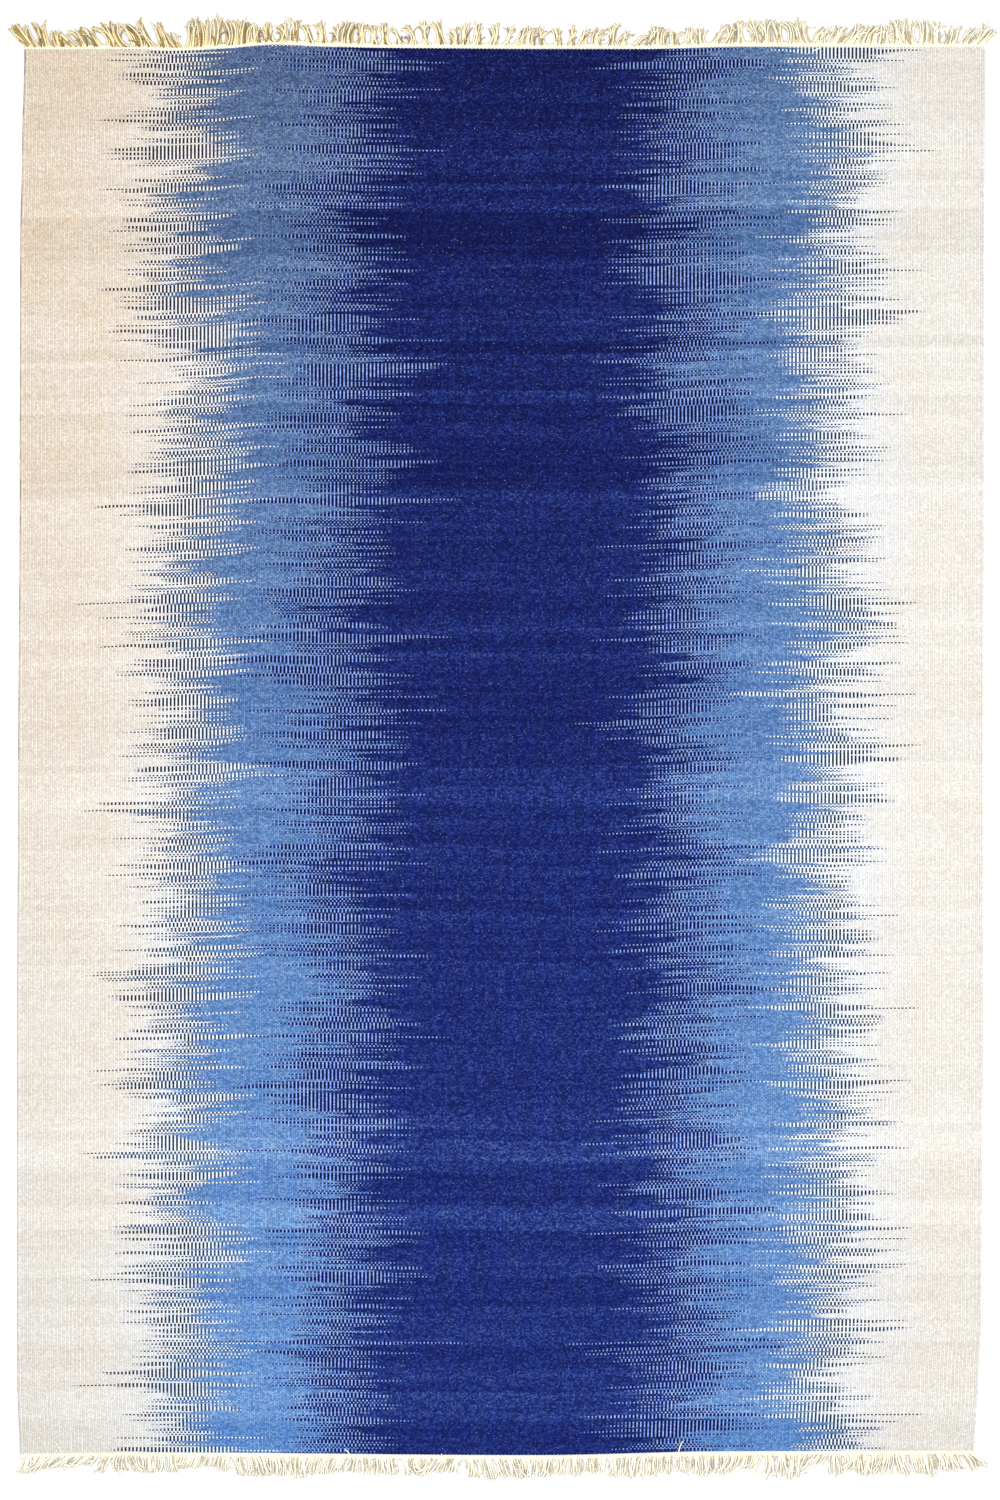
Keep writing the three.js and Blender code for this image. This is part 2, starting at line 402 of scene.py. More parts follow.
# %% Field mesh
def mesh_from(name, points, faces, smooth=True):
    """A mesh object from points in millimetres."""
    mesh = bpy.data.meshes.new(name)
    mesh.from_pydata((np.asarray(points) * mm).tolist(), [], faces)
    mesh.polygons.foreach_set("use_smooth", [smooth] * len(mesh.polygons))
    mesh.update()
    made = bpy.data.objects.new(name, mesh)
    bpy.context.scene.collection.objects.link(made)
    return made


def ring_faces(rings, ring):
    """The faces that join each ring of points to the next one."""
    faces = []
    for row in range(rings):
        for corner in range(ring):
            a, b = row * ring + corner, row * ring + (corner + 1) % ring
            faces.append((a, b, b + ring, a + ring))
    return faces


def store_weave(cloth, places, face_row):
    """Puts the loom's own places in a UV map, and the dye of two picks on each face."""
    corners = np.empty(len(cloth.data.loops), np.int32)
    cloth.data.loops.foreach_get("vertex_index", corners)
    weave = cloth.data.uv_layers.new(name="weave")
    weave.uv.foreach_set("vector", places[corners].astype(np.float32).ravel())
    pick_in_even, pick_in_odd = face_row + face_row % 2, face_row + 1 - face_row % 2
    for name, pick in (("dye_even", pick_in_even), ("dye_odd", pick_in_odd)):
        layer = cloth.data.attributes.new(name, "FLOAT_COLOR", "FACE")
        layer.data.foreach_set("color", (pick_edges[pick] * mm).astype(np.float32).ravel())
    for name, pick in (("depth_even", pick_in_even), ("depth_odd", pick_in_odd)):
        layer = cloth.data.attributes.new(name, "FLOAT", "FACE")
        layer.data.foreach_set("value", pick_depth[pick].astype(np.float32))


def weave_field():
    """The wool cloth, laid out by the tables, with its weave stored on it."""
    along = (np.arange(row_count + 1) * pick_rise - cloth_half_length)[:, None]
    across = cloth_section[:, 0][None, :] * cloth_half_width
    x, y = cloth_point(across, along)
    x = x + cloth_section[:, 1]
    z = cloth_section[:, 2] + cockle(x, y)
    points = np.stack([x, y, z], -1).reshape(-1, 3)
    ring = len(cloth_section)
    far_cap = [tuple(row_count * ring + corner for corner in face[::-1]) for face in near_cap]
    faces = ring_faces(row_count, ring) + near_cap + far_cap
    cloth = mesh_from("woven_wool_field", points, faces)
    places = np.stack([
        (np.broadcast_to(across, x.shape) + cloth_section[:, 1]).ravel() * mm,
        np.broadcast_to(along, x.shape).ravel() * mm,
    ], -1)
    face_row = np.repeat(np.arange(row_count), ring)
    cap_row = np.repeat([0, row_count - 1], len(near_cap))
    store_weave(cloth, places, np.concatenate([face_row, cap_row]))
    return cloth


wool_field = weave_field()
print("field faces:", len(wool_field.data.polygons))

# %% [markdown]
# ## One way to write a material
# A material is a tree of nodes. One small function adds a node with its settings and links,
# and colours are written as the hex values that a colour chart shows, then turned to the
# linear values that light needs.

# %% Material helpers
def add_node(tree, kind, settings=None, links=None):
    """Adds one node; a link is a value, or a node or socket whose output feeds the input."""
    node = tree.nodes.new(kind)
    for name, value in (settings or {}).items():
        setattr(node, name, value)
    for name, value in (links or {}).items():
        if isinstance(value, bpy.types.Node):
            value = value.outputs[0]
        if isinstance(value, bpy.types.NodeSocket):
            tree.links.new(value, node.inputs[name])
        else:
            node.inputs[name].default_value = value
    return node


def linear(hex_colour):
    """An sRGB hex colour as linear red, green, blue and alpha."""
    parts = [int(hex_colour[place:place + 2], 16) / 255 for place in (1, 3, 5)]
    return [p / 12.92 if p <= 0.04045 else ((p + 0.055) / 1.055) ** 2.4 for p in parts] + [1]


def new_material(name):
    """An empty material, with its node tree and output."""
    material = bpy.data.materials.new(name)
    material.use_nodes = True
    material.node_tree.nodes.clear()
    return material, material.node_tree, add_node(material.node_tree, "ShaderNodeOutputMaterial")


print("white as light:", linear("#FFFFFF"))

# %% [markdown]
# ## Tie-dyed wool: its colours
# Wool is a dull, slightly hairy fibre: rough, with a faint sheen where fibres stand up. This
# one is cream, light blue and navy. Each dye is written as two hexes, with painted shade
# between them: at the far left corner it is painted deeper and warmer, as in shade, and at the
# near end lighter and cooler, as in full light. Where two colours alternate they stand out
# against each other: the dark floats are the ends of the dye, which gathers against the ties,
# and the light ones are what the ties kept clean. A little blue has wicked past the ties as
# well, so the undyed wool is cooler where it borders on the dye.

# %% Wool dyes
# Each pair: the dye in painted shade at the far left corner, then in full light at the near end
undyed = ("#CFBFAB", "#D2CFC9")
sky = ("#485979", "#5782BC")
navy = ("#02063E", "#12246B")
# The ends of the blue against undyed wool, and of the navy against blue
pooled = ("#141217", "#1E2434")
deepest = ("#000022", "#000440")
# Blue that stayed pale between navy floats, and wool that stayed undyed between blue ones
kept_pale = ("#728AC4", "#809FE6")
wicked = ("#DCD6D4", "#CEDCEE")
stray_hair = "#B9C0D6"
# The colour of the painted shadow along the left selvedge
selvedge_shadow_colour = "#3A3026"
# Shares of the first, shaded hex at the corners: far left, far right, near left, near right
dye_shade_at_corners = (1, 0.6, 0, 0.2)
wool_shade_at_corners = (0.95, 0.05, 0, 0.12)


def painted_shade_mix(tree, share, dye):
    """A dye between its two hexes, by how much of the first, its painted shade, a place has."""
    return add_node(tree, "ShaderNodeMix", {"data_type": "RGBA"}, {
        "Factor": share, 6: linear(dye[1]), 7: linear(dye[0]),
    }).outputs[2]


def corner_share(tree, places, corners):
    """A share that runs evenly between its values at the four corners of the rug."""
    far_left, far_right, near_left, near_right = corners
    half_width, half_length = 0.6, cloth_half_length * mm
    tilt = add_node(tree, "ShaderNodeMapRange", {"clamp": False}, {
        "Value": places.outputs["X"], "From Min": -half_width, "From Max": half_width,
        "To Min": (far_left - near_left) / 2, "To Max": (far_right - near_right) / 2,
    })
    level = add_node(tree, "ShaderNodeMapRange", {"clamp": False}, {
        "Value": places.outputs["X"], "From Min": -half_width, "From Max": half_width,
        "To Min": (far_left + near_left) / 2, "To Max": (far_right + near_right) / 2,
    })
    along = add_node(tree, "ShaderNodeMath", {"operation": "MULTIPLY"}, {
        0: places.outputs["Y"], 1: 1 / half_length,
    })
    return add_node(tree, "ShaderNodeMath", {"operation": "MULTIPLY_ADD", "use_clamp": True}, {
        0: tilt, 1: along, 2: level,
    })


print("navy as light:", [round(part, 4) for part in linear(navy[1])])

# %% [markdown]
# ## Which float is this?
# Each visible float of weft is 2.4 mm wide, one warp end, and 1.8 mm high, and the floats of
# the next column sit half a float higher, like bricks. The weave's UV map gives the place of
# a point on the loom, so two divisions tell its column and its row, and a white noise of both
# gives each float a chance of its own.

# %% Float grid
warp_spacing = float_width * mm
# Added to the columns, so that none is counted below zero
first_column = 1000


def float_grid(tree):
    """Where a point lies among the floats, and three chances for each float."""
    weave = add_node(tree, "ShaderNodeUVMap", {"uv_map": "weave"})
    places = add_node(tree, "ShaderNodeSeparateXYZ", None, {0: weave})
    across = add_node(tree, "ShaderNodeMath", {"operation": "MULTIPLY_ADD"}, {
        0: places.outputs["X"], 1: 1 / warp_spacing, 2: first_column,
    })
    column = add_node(tree, "ShaderNodeMath", {"operation": "FLOOR"}, {0: across})
    odd = add_node(tree, "ShaderNodeMath", {"operation": "MODULO"}, {0: column, 1: 2})
    half = add_node(tree, "ShaderNodeMath", {"operation": "MULTIPLY_ADD"}, {
        0: odd, 1: -0.5, 2: 0.5,
    })
    from_end = add_node(tree, "ShaderNodeMath", {"operation": "ADD"}, {
        0: places.outputs["Y"], 1: cloth_half_length * mm,
    })
    along = add_node(tree, "ShaderNodeMath", {"operation": "MULTIPLY_ADD"}, {
        0: from_end, 1: 1 / (float_length * mm), 2: half,
    })
    row = add_node(tree, "ShaderNodeMath", {"operation": "FLOOR"}, {0: along})
    each_float = add_node(tree, "ShaderNodeTexWhiteNoise", {"noise_dimensions": "3D"}, {
        "Vector": add_node(tree, "ShaderNodeCombineXYZ", None, {0: column, 1: row}),
    })
    chance = add_node(tree, "ShaderNodeSeparateColor", None, {0: each_float.outputs["Color"]})
    return {
        "weave": weave, "places": places, "across": across, "along": along, "odd": odd,
        "edge chance": chance.outputs["Red"], "dye chance": chance.outputs["Green"],
        "shade chance": each_float.outputs["Value"],
    }


def float_bow(tree, place):
    """How high a float stands from edge to edge: 0 at both, 1 in the middle."""
    inside = add_node(tree, "ShaderNodeMath", {"operation": "FRACT"}, {0: place})
    from_middle = add_node(tree, "ShaderNodeMath", {"operation": "MULTIPLY_ADD"}, {
        0: inside, 1: 2, 2: -1,
    })
    squared = add_node(tree, "ShaderNodeMath", {"operation": "POWER"}, {
        0: add_node(tree, "ShaderNodeMath", {"operation": "ABSOLUTE"}, {0: from_middle}), 1: 2,
    })
    return add_node(tree, "ShaderNodeMath", {"operation": "SUBTRACT", "use_clamp": True}, {
        0: 1, 1: squared,
    })


print("floats across:", int(2 * cloth_half_width / float_width), "along:", row_count // 2)

# %% [markdown]
# ## Where the dye ends
# The attributes of a face hold the four colour edges of the two picks that can show there.
# The tree takes those of the pick that does show, and tells how far past each of them a point
# is. It does the same for the pick in the columns beside it: where a float lies in a colour
# and its neighbour doesn't, it leads, and stands out.

# %% Shares and leads
dye_bleed = 8 * mm
# How far the edge strays from float to float, because the yarn is uneven
edge_stray = 6 * mm


def dye_shares(tree, across, odd, even_pick, odd_pick):
    """How far past each of the four colour edges a float lies, from 0 to 1."""
    first_three = add_node(tree, "ShaderNodeSeparateColor", None, {
        0: add_node(tree, "ShaderNodeMix", {"data_type": "RGBA"}, {
            "Factor": odd, 6: even_pick.outputs["Color"], 7: odd_pick.outputs["Color"],
        }).outputs[2],
    })
    fourth = add_node(tree, "ShaderNodeMix", {"data_type": "FLOAT"}, {
        "Factor": odd, "A": even_pick.outputs["Alpha"], "B": odd_pick.outputs["Alpha"],
    })
    past_edges = [
        add_node(tree, "ShaderNodeMath", {"operation": "SUBTRACT"}, {0: across, 1: edge})
        for edge in (*first_three.outputs, fourth)
    ]
    return [
        add_node(tree, "ShaderNodeMapRange", None, {
            "Value": past, "From Min": -dye_bleed, "From Max": dye_bleed,
        })
        for past in past_edges
    ]


def band_share(tree, shares, first, last):
    """How much of a float lies in the band of colour between two of the edges."""
    return add_node(tree, "ShaderNodeMath", {"operation": "SUBTRACT"}, {
        0: shares[first], 1: shares[last],
    })


def shares_and_leads(tree, grid):
    """The shares of a float, and how far it leads its neighbours into blue and into navy."""
    even_pick = add_node(tree, "ShaderNodeAttribute", {"attribute_name": "dye_even"})
    odd_pick = add_node(tree, "ShaderNodeAttribute", {"attribute_name": "dye_odd"})
    uneven = add_node(tree, "ShaderNodeMath", {"operation": "MULTIPLY_ADD"}, {
        0: grid["edge chance"], 1: edge_stray, 2: grid["places"].outputs["X"],
    })
    dyed = dye_shares(tree, uneven, grid["odd"], even_pick, odd_pick)
    beside = dye_shares(tree, uneven, grid["odd"], odd_pick, even_pick)
    leads = [
        add_node(tree, "ShaderNodeMath", {"operation": "SUBTRACT"}, {
            0: band_share(tree, dyed, first, last), 1: band_share(tree, beside, first, last),
        })
        for first, last in ((0, 3), (1, 2))
    ]
    return dyed, leads


print("the dye bleeds over", round(2 * dye_bleed / warp_spacing, 1), "floats")

# %% [markdown]
# ## Blue and navy
# Floats that lead are deeper than the rest, and the blue ones turn dark grey towards the
# outside of the rug. The pale ones between navy floats are half hidden between them, so they
# darken towards their own edges.

# %% Dyed floats
# How far from the middle the ends of the blue start to turn dark grey, and where it ends
pooling_from, pooling_to = 320 * mm, 410 * mm
least_pooling = 0.5


def blue_and_navy(tree, grid, leads, from_middle):
    """The light blue and the navy of a float, by how far it leads into each."""
    # Painted shade: the dyes turn deeper and warmer towards the far left corner
    far_left_shade = corner_share(tree, grid["places"], dye_shade_at_corners)
    blue_end, navy_end = (
        add_node(tree, "ShaderNodeClamp", None, {"Value": lead}) for lead in leads
    )
    pale_blue = add_node(tree, "ShaderNodeMath", {"operation": "MULTIPLY", "use_clamp": True}, {
        0: leads[1], 1: -1,
    })
    pooling = add_node(tree, "ShaderNodeMapRange", None, {
        "Value": from_middle, "From Min": pooling_from, "From Max": pooling_to,
        "To Min": least_pooling, "To Max": 1,
    })
    gathered = add_node(tree, "ShaderNodeMath", {"operation": "MULTIPLY"}, {
        0: pooling, 1: blue_end,
    })
    blue = add_node(tree, "ShaderNodeMix", {"data_type": "RGBA"}, {
        "Factor": gathered, 6: painted_shade_mix(tree, far_left_shade, sky), 7: painted_shade_mix(tree, far_left_shade, pooled),
    })
    indigo = add_node(tree, "ShaderNodeMix", {"data_type": "RGBA"}, {
        "Factor": navy_end, 6: painted_shade_mix(tree, far_left_shade, navy), 7: painted_shade_mix(tree, far_left_shade, deepest),
    })
    lighter = add_node(tree, "ShaderNodeMix", {"data_type": "RGBA"}, {
        "Factor": pale_blue, 6: blue.outputs[2], 7: painted_shade_mix(tree, far_left_shade, kept_pale),
    })
    float_edge = add_node(tree, "ShaderNodeMath", {"operation": "SUBTRACT"}, {
        0: 1, 1: float_bow(tree, grid["across"]),
    })
    hidden = add_node(tree, "ShaderNodeMath", {"operation": "MULTIPLY"}, {
        0: pale_blue, 1: float_edge,
    })
    blue = add_node(tree, "ShaderNodeMix", {"data_type": "RGBA"}, {
        "Factor": hidden, 6: lighter.outputs[2], 7: painted_shade_mix(tree, far_left_shade, deepest),
    })
    return blue.outputs[2], indigo.outputs[2]


print("dark grey from", round(pooling_from / mm), "to", round(pooling_to / mm), "mm out")

# %% [markdown]
# ## Undyed wool, and all of it together
# The undyed wool is stained here and there, painted darker and warmer towards the far left
# corner as shade, and cooler near the blue, most of all where it was kept clean between two
# blue floats. Four mixes then lay the colours side by side, one at each edge.

# %% Colour of a float
# Where the middle of the dyed colours lies, to the right of the rug's own
colour_middle = 16 * mm
# How far from there the undyed wool starts to turn cooler, and where it ends
wicking_from, wicking_to = 520 * mm, 430 * mm
least_wicking = 0.35
stain_size, stain_depth = 90 * mm, 0.8


def undyed_wool(tree, grid, blue_lead, from_middle):
    """The undyed wool, warmer where it is stained and in painted shade, cooler where blue has
    wicked in.
    """
    stains = add_node(tree, "ShaderNodeTexNoise", None, {
        "Vector": grid["weave"], "Scale": 1 / stain_size, "Detail": 3,
    })
    # Stains, plus painted shade that darkens and warms the far left corner
    stained_and_shaded = add_node(tree, "ShaderNodeMath", {"operation": "MULTIPLY_ADD", "use_clamp": True}, {
        0: add_node(tree, "ShaderNodeMath", {"operation": "SUBTRACT"}, {
            0: stains.outputs["Fac"], 1: 0.5,
        }),
        1: stain_depth, 2: corner_share(tree, grid["places"], wool_shade_at_corners),
    })
    clean_wool = add_node(tree, "ShaderNodeMath", {"operation": "MULTIPLY", "use_clamp": True}, {
        0: blue_lead, 1: -1,
    })
    near_blue = add_node(tree, "ShaderNodeMapRange", None, {
        "Value": from_middle, "From Min": wicking_from, "From Max": wicking_to,
    })
    wicking = add_node(tree, "ShaderNodeMath", {"operation": "MULTIPLY"}, {
        0: near_blue, 1: add_node(tree, "ShaderNodeMapRange", None, {
            "Value": clean_wool, "To Min": least_wicking, "To Max": 1,
        }),
    })
    return add_node(tree, "ShaderNodeMix", {"data_type": "RGBA"}, {
        "Factor": wicking, 6: painted_shade_mix(tree, stained_and_shaded, undyed), 7: painted_shade_mix(tree, stained_and_shaded, wicked),
    }).outputs[2]


def float_colour(tree, grid):
    """The colour that the dyer gave a float."""
    dyed, leads = shares_and_leads(tree, grid)
    from_middle = add_node(tree, "ShaderNodeMath", {"operation": "ABSOLUTE"}, {
        0: add_node(tree, "ShaderNodeMath", {"operation": "SUBTRACT"}, {
            0: grid["places"].outputs["X"], 1: colour_middle,
        }),
    })
    blue, indigo = blue_and_navy(tree, grid, leads, from_middle)
    colour = wool = undyed_wool(tree, grid, leads[0], from_middle)
    for share, dye in zip(dyed, (blue, indigo, blue, wool)):
        colour = add_node(tree, "ShaderNodeMix", {"data_type": "RGBA"}, {
            "Factor": share, 6: colour, 7: dye,
        }).outputs[2]
    return colour


print("bands of colour, in mm:", [edge[0] for edge in dye_edges])

# %% [markdown]
# ## Uneven dye
# Hand-spun yarn takes dye unevenly, which is a change of depth and not of brightness: a power
# of the colour moves the navy a lot and the undyed wool hardly at all. The depth changes from
# pick to pick, from float to float, in clumps of fibre and in streaks along the yarn.

# %% Uneven dye
float_depth = 0.25
clump_size, clump_depth = 0.9 * mm, 0.25
streak_length, streak_height, streak_depth = 200 * mm, 6.25 * mm, 0.14


def dye_depth(tree, grid):
    """The power that the colour is raised to."""
    even_depth = add_node(tree, "ShaderNodeAttribute", {"attribute_name": "depth_even"})
    odd_depth = add_node(tree, "ShaderNodeAttribute", {"attribute_name": "depth_odd"})
    depth = add_node(tree, "ShaderNodeMix", {"data_type": "FLOAT"}, {
        "Factor": grid["odd"], "A": even_depth.outputs["Fac"], "B": odd_depth.outputs["Fac"],
    })
    float_dye = add_node(tree, "ShaderNodeMapRange", None, {
        "Value": grid["dye chance"], "To Min": -float_depth, "To Max": float_depth,
    })
    clumps = add_node(tree, "ShaderNodeTexNoise", None, {
        "Vector": grid["weave"], "Scale": 1 / clump_size, "Detail": 1, "Roughness": 0.6,
    })
    clump_dye = add_node(tree, "ShaderNodeMapRange", {"clamp": False}, {
        "Value": clumps.outputs["Fac"], "From Min": 0.3, "From Max": 0.7,
        "To Min": -clump_depth, "To Max": clump_depth,
    })
    streaks = add_node(tree, "ShaderNodeTexNoise", None, {
        "Vector": add_node(tree, "ShaderNodeMapping", None, {
            "Vector": grid["weave"], "Scale": (1 / streak_length, 1 / streak_height, 1),
        }),
        "Scale": 1, "Detail": 2,
    })
    streak_dye = add_node(tree, "ShaderNodeMapRange", None, {
        "Value": streaks.outputs["Fac"], "To Min": -streak_depth, "To Max": streak_depth,
    })
    for change in (float_dye, clump_dye, streak_dye):
        depth = add_node(tree, "ShaderNodeMath", {"operation": "ADD"}, {0: depth, 1: change})
    return depth


print("uneven dye of floats, clumps and streaks:", float_depth, clump_depth, streak_depth)

# %% [markdown]
# ## Hairs and a painted shadow
# A few pale hairs stand up out of the dark wool. A real hair is far thinner than a pixel, so
# each is drawn as a faint speck that is just wide enough to show. A thin broken grey line of
# painted shadow runs along the left selvedge in its far half, darkest at the corner.

# %% Hairs and painted shadow
hair_cell = (1.1 * mm, 0.7 * mm, 1)
hair_share, hair_strength = 0.003, 0.35
# How far in from the selvedge the painted shadow starts to thin out, and where it ends
shadow_full, shadow_none = 0.8 * mm, 1.8 * mm
shadow_patch = 45 * mm
# From and to: place along the rug in metres, how much painted shadow
corner_shadow = ((0.865, 0), (0.88, 1))
far_half_shadow = ((-0.3, 0.12), (0.2, 1))


def with_hairs(tree, grid, colour):
    """A colour with a few pale hairs over it."""
    specks = add_node(tree, "ShaderNodeTexWhiteNoise", {"noise_dimensions": "3D"}, {
        "Vector": add_node(tree, "ShaderNodeVectorMath", {"operation": "SNAP"}, {
            0: grid["weave"], 1: hair_cell,
        }),
    })
    hairs = add_node(tree, "ShaderNodeMath", {"operation": "GREATER_THAN"}, {
        0: specks, 1: 1 - hair_share,
    })
    return add_node(tree, "ShaderNodeMix", {"data_type": "RGBA"}, {
        "Factor": add_node(tree, "ShaderNodeMath", {"operation": "MULTIPLY"}, {
            0: hairs, 1: hair_strength,
        }),
        6: colour, 7: linear(stray_hair),
    }).outputs[2]


def painted_edge_shadow(tree, places):
    """A painted shadow on the outermost yarn of the left selvedge, in patches of a few
    centimetres.
    """
    edge = -cloth_half_width * mm
    outermost = add_node(tree, "ShaderNodeMapRange", None, {
        "Value": places.outputs["X"], "From Min": edge + shadow_none, "From Max": edge + shadow_full,
    })
    patches = add_node(tree, "ShaderNodeTexNoise", {"noise_dimensions": "1D"}, {
        "W": places.outputs["Y"], "Scale": 1 / shadow_patch, "Detail": 4,
    })
    broken = add_node(tree, "ShaderNodeMapRange", None, {
        "Value": patches.outputs["Fac"], "From Min": 0.42, "From Max": 0.62,
        "To Min": 0.05, "To Max": 0.75,
    })
    corner, far_half = (
        add_node(tree, "ShaderNodeMapRange", None, {
            "Value": places.outputs["Y"], "From Min": start, "From Max": end,
            "To Min": least, "To Max": most,
        })
        for (start, least), (end, most) in (corner_shadow, far_half_shadow)
    )
    worst = add_node(tree, "ShaderNodeMath", {"operation": "MAXIMUM"}, {0: broken, 1: corner})
    painted_dark = add_node(tree, "ShaderNodeMath", {"operation": "MULTIPLY"}, {0: worst, 1: far_half})
    return add_node(tree, "ShaderNodeMath", {"operation": "MULTIPLY"}, {0: painted_dark, 1: outermost})


print("a hair for each", round(1 / hair_share), "specks of", hair_cell[:2], "m")

# %% [markdown]
# ## Plump floats
# A float bulges between its neighbours and is shaded down into the hollows, most where every
# other warp lies deeper. The shape is in the bump, and part of the shade in the colour,
# because the hollows are finer than a pixel of the photograph.

# %% Wool material
sunk_patch, most_sunk = 40 * mm, 0.17
hollow_shade, crown_shade = 0.54, 1.08
heather_shade = 0.04
fibre_size, fibre_stretch = 0.5 * mm, (0.35, 1, 1)
wool_relief = 0.45 * mm


def float_shade(tree, grid, plump):
    """How light a float is at a point, with its column and the wool's own changes."""
    heather = add_node(tree, "ShaderNodeMapRange", None, {
        "Value": grid["shade chance"], "To Min": 1 - heather_shade, "To Max": 1 + heather_shade,
    })
    patches = add_node(tree, "ShaderNodeTexNoise", None, {
        "Vector": grid["weave"], "Scale": 1 / sunk_patch, "Detail": 2,
    })
    sunk = add_node(tree, "ShaderNodeMapRange", None, {
        "Value": patches.outputs["Fac"], "From Min": 0.35, "From Max": 0.75,
        "To Min": 0, "To Max": most_sunk,
    })
    columns = add_node(tree, "ShaderNodeMath", {"operation": "MULTIPLY_ADD"}, {
        0: add_node(tree, "ShaderNodeMath", {"operation": "SUBTRACT"}, {0: 0.5, 1: grid["odd"]}),
        1: sunk, 2: 1,
    })
    hollow = add_node(tree, "ShaderNodeMapRange", None, {
        "Value": plump, "To Min": hollow_shade, "To Max": crown_shade,
    })
    shade = add_node(tree, "ShaderNodeMath", {"operation": "MULTIPLY"}, {0: heather, 1: hollow})
    return add_node(tree, "ShaderNodeMath", {"operation": "MULTIPLY"}, {0: shade, 1: columns})


def wool_material():
    """Wool weft of three dyes, with each float's colour, hollow and fibres."""
    material, tree, output = new_material("tie_dyed_wool_weft")
    grid = float_grid(tree)
    soaked = add_node(tree, "ShaderNodeGamma", None, {
        "Color": float_colour(tree, grid), "Gamma": dye_depth(tree, grid),
    })
    # Painted shadow: a thin dark line along the outermost yarn of the left selvedge
    with_shadow = add_node(tree, "ShaderNodeMix", {"data_type": "RGBA"}, {
        "Factor": painted_edge_shadow(tree, grid["places"]),
        6: with_hairs(tree, grid, soaked), 7: linear(selvedge_shadow_colour),
    })
    bulge = add_node(tree, "ShaderNodeMath", {"operation": "MULTIPLY"}, {
        0: float_bow(tree, grid["across"]), 1: float_bow(tree, grid["along"]),
    })
    plump = add_node(tree, "ShaderNodeMath", {"operation": "POWER"}, {0: bulge, 1: 0.5})
    shaded = add_node(tree, "ShaderNodeVectorMath", {"operation": "SCALE"}, {
        0: with_shadow.outputs[2], "Scale": float_shade(tree, grid, plump),
    })
    fibres = add_node(tree, "ShaderNodeTexNoise", None, {
        "Vector": add_node(tree, "ShaderNodeMapping", None, {
            "Vector": grid["weave"], "Scale": fibre_stretch,
        }),
        "Scale": 1 / fibre_size, "Detail": 3,
    })
    relief = add_node(tree, "ShaderNodeMath", {"operation": "MULTIPLY_ADD"}, {
        0: fibres.outputs["Fac"], 1: 0.25, 2: plump,
    })
    bump = add_node(tree, "ShaderNodeBump", None, {"Distance": wool_relief, "Height": relief})
    cloth = add_node(tree, "ShaderNodeBsdfPrincipled", None, {
        "Base Color": shaded, "Normal": bump, "Roughness": 0.95, "Specular IOR Level": 0.1,
        "Sheen Weight": 0.02, "Sheen Roughness": 0.6,
    })
    tree.links.new(cloth.outputs[0], output.inputs["Surface"])
    return material


wool_field.data.materials.append(wool_material())
print("wool nodes:", len(wool_field.data.materials[0].node_tree.nodes))

# %% [markdown]
# ## The fringe
# When the rug is cut from the loom, the warp ends stick out. Groups of them have twisted into
# soft cotton cords under 3 mm thick, which leave the end band side by side, draw together into
# tufts and fan out again. They are stiff from the loom, so a tuft bows as one, and its ends
# curl each in their own way. Thinner ends lie among them, painted dark as lines of shadow
# between the cords. A particle system could scatter them all, but a table says how they lie,
# so the script lays one guide line for each strand, and Geometry Nodes turn the guides into
# curled, tapered yarn.

# %% Fringe tables
tufts_across = 73
cords_in_tuft = 11
cords_in_corner = 16
thin_ends_in_tuft = 3
# Rows of: place across in millimetres, lean from straight out towards +X in degrees, reach
# past the band in millimetres
far_fringe = [
    (-604, -32, 25), (-590, -22, 29), (-576, -4, 28), (-564, -30, 17), (-552, -46, 15),
    (-530, -40, 19), (-505, -36, 25), (-480, -30, 28), (-440, -26, 29), (-416, -24, 16),
    (-400, 3, 30), (-346, -5, 30), (-330, 3, 26), (-312, -20, 22), (-292, 6, 20),
    (-262, -8, 26), (-240, -26, 17), (-222, 24, 24), (-196, 6, 26), (-160, -6, 24),
    (-138, -25, 18), (-118, -14, 27), (-92, 4, 26), (-58, -12, 24), (-30, 8, 26),
    (16, 30, 21), (40, 2, 23), (74, -10, 22), (104, 32, 17), (134, 14, 22),
    (166, 44, 12), (190, 8, 20), (236, -14, 17), (268, 22, 21), (306, -4, 28),
    (352, -6, 29), (386, -14, 27), (408, 30, 21), (452, 30, 23), (482, 10, 20),
    (506, -8, 28), (552, -4, 28), (572, 34, 18), (602, 48, 18),
]
near_fringe = [
    (-606, -26, 22), (-584, -36, 20), (-548, -46, 15), (-512, -54, 11), (-490, 4, 21),
    (-462, 10, 20), (-424, -4, 18), (-392, -26, 15), (-360, -30, 12), (-338, 18, 22),
    (-300, 16, 23), (-264, 10, 23), (-236, -20, 21), (-196, -28, 18), (-156, 6, 19),
    (-118, 20, 20), (-86, -22, 21), (-56, -30, 16), (-30, 10, 21), (8, 20, 23),
    (46, -12, 22), (92, -4, 18), (128, -18, 15), (150, 6, 23), (206, -4, 23),
    (238, 14, 21), (284, -10, 22), (322, -34, 15), (350, 4, 26), (392, -16, 24),
    (416, -42, 13), (432, -6, 23), (462, 0, 24), (496, -14, 23), (512, 8, 23),
    (548, 2, 23), (572, 24, 19), (602, 38, 19),
]
# Rows of: place across the width, end of the rug, how far the yarn strays towards +X, how
# far onto the cloth: a few warp ends were caught on the wrong side of the band
stray_ends = [
    (-558, -1, -9, 15),
    (233, -1, 5, 15),
    (-189, -1, -6, 7),
    (-72, -1, 1, 3),
    (403, 1, -11, 7),
]
cords_at_end = tufts_across * cords_in_tuft + 2 * (cords_in_corner - cords_in_tuft)
print("cords at each end:", cords_at_end, "thin ends:", tufts_across * thin_ends_in_tuft)

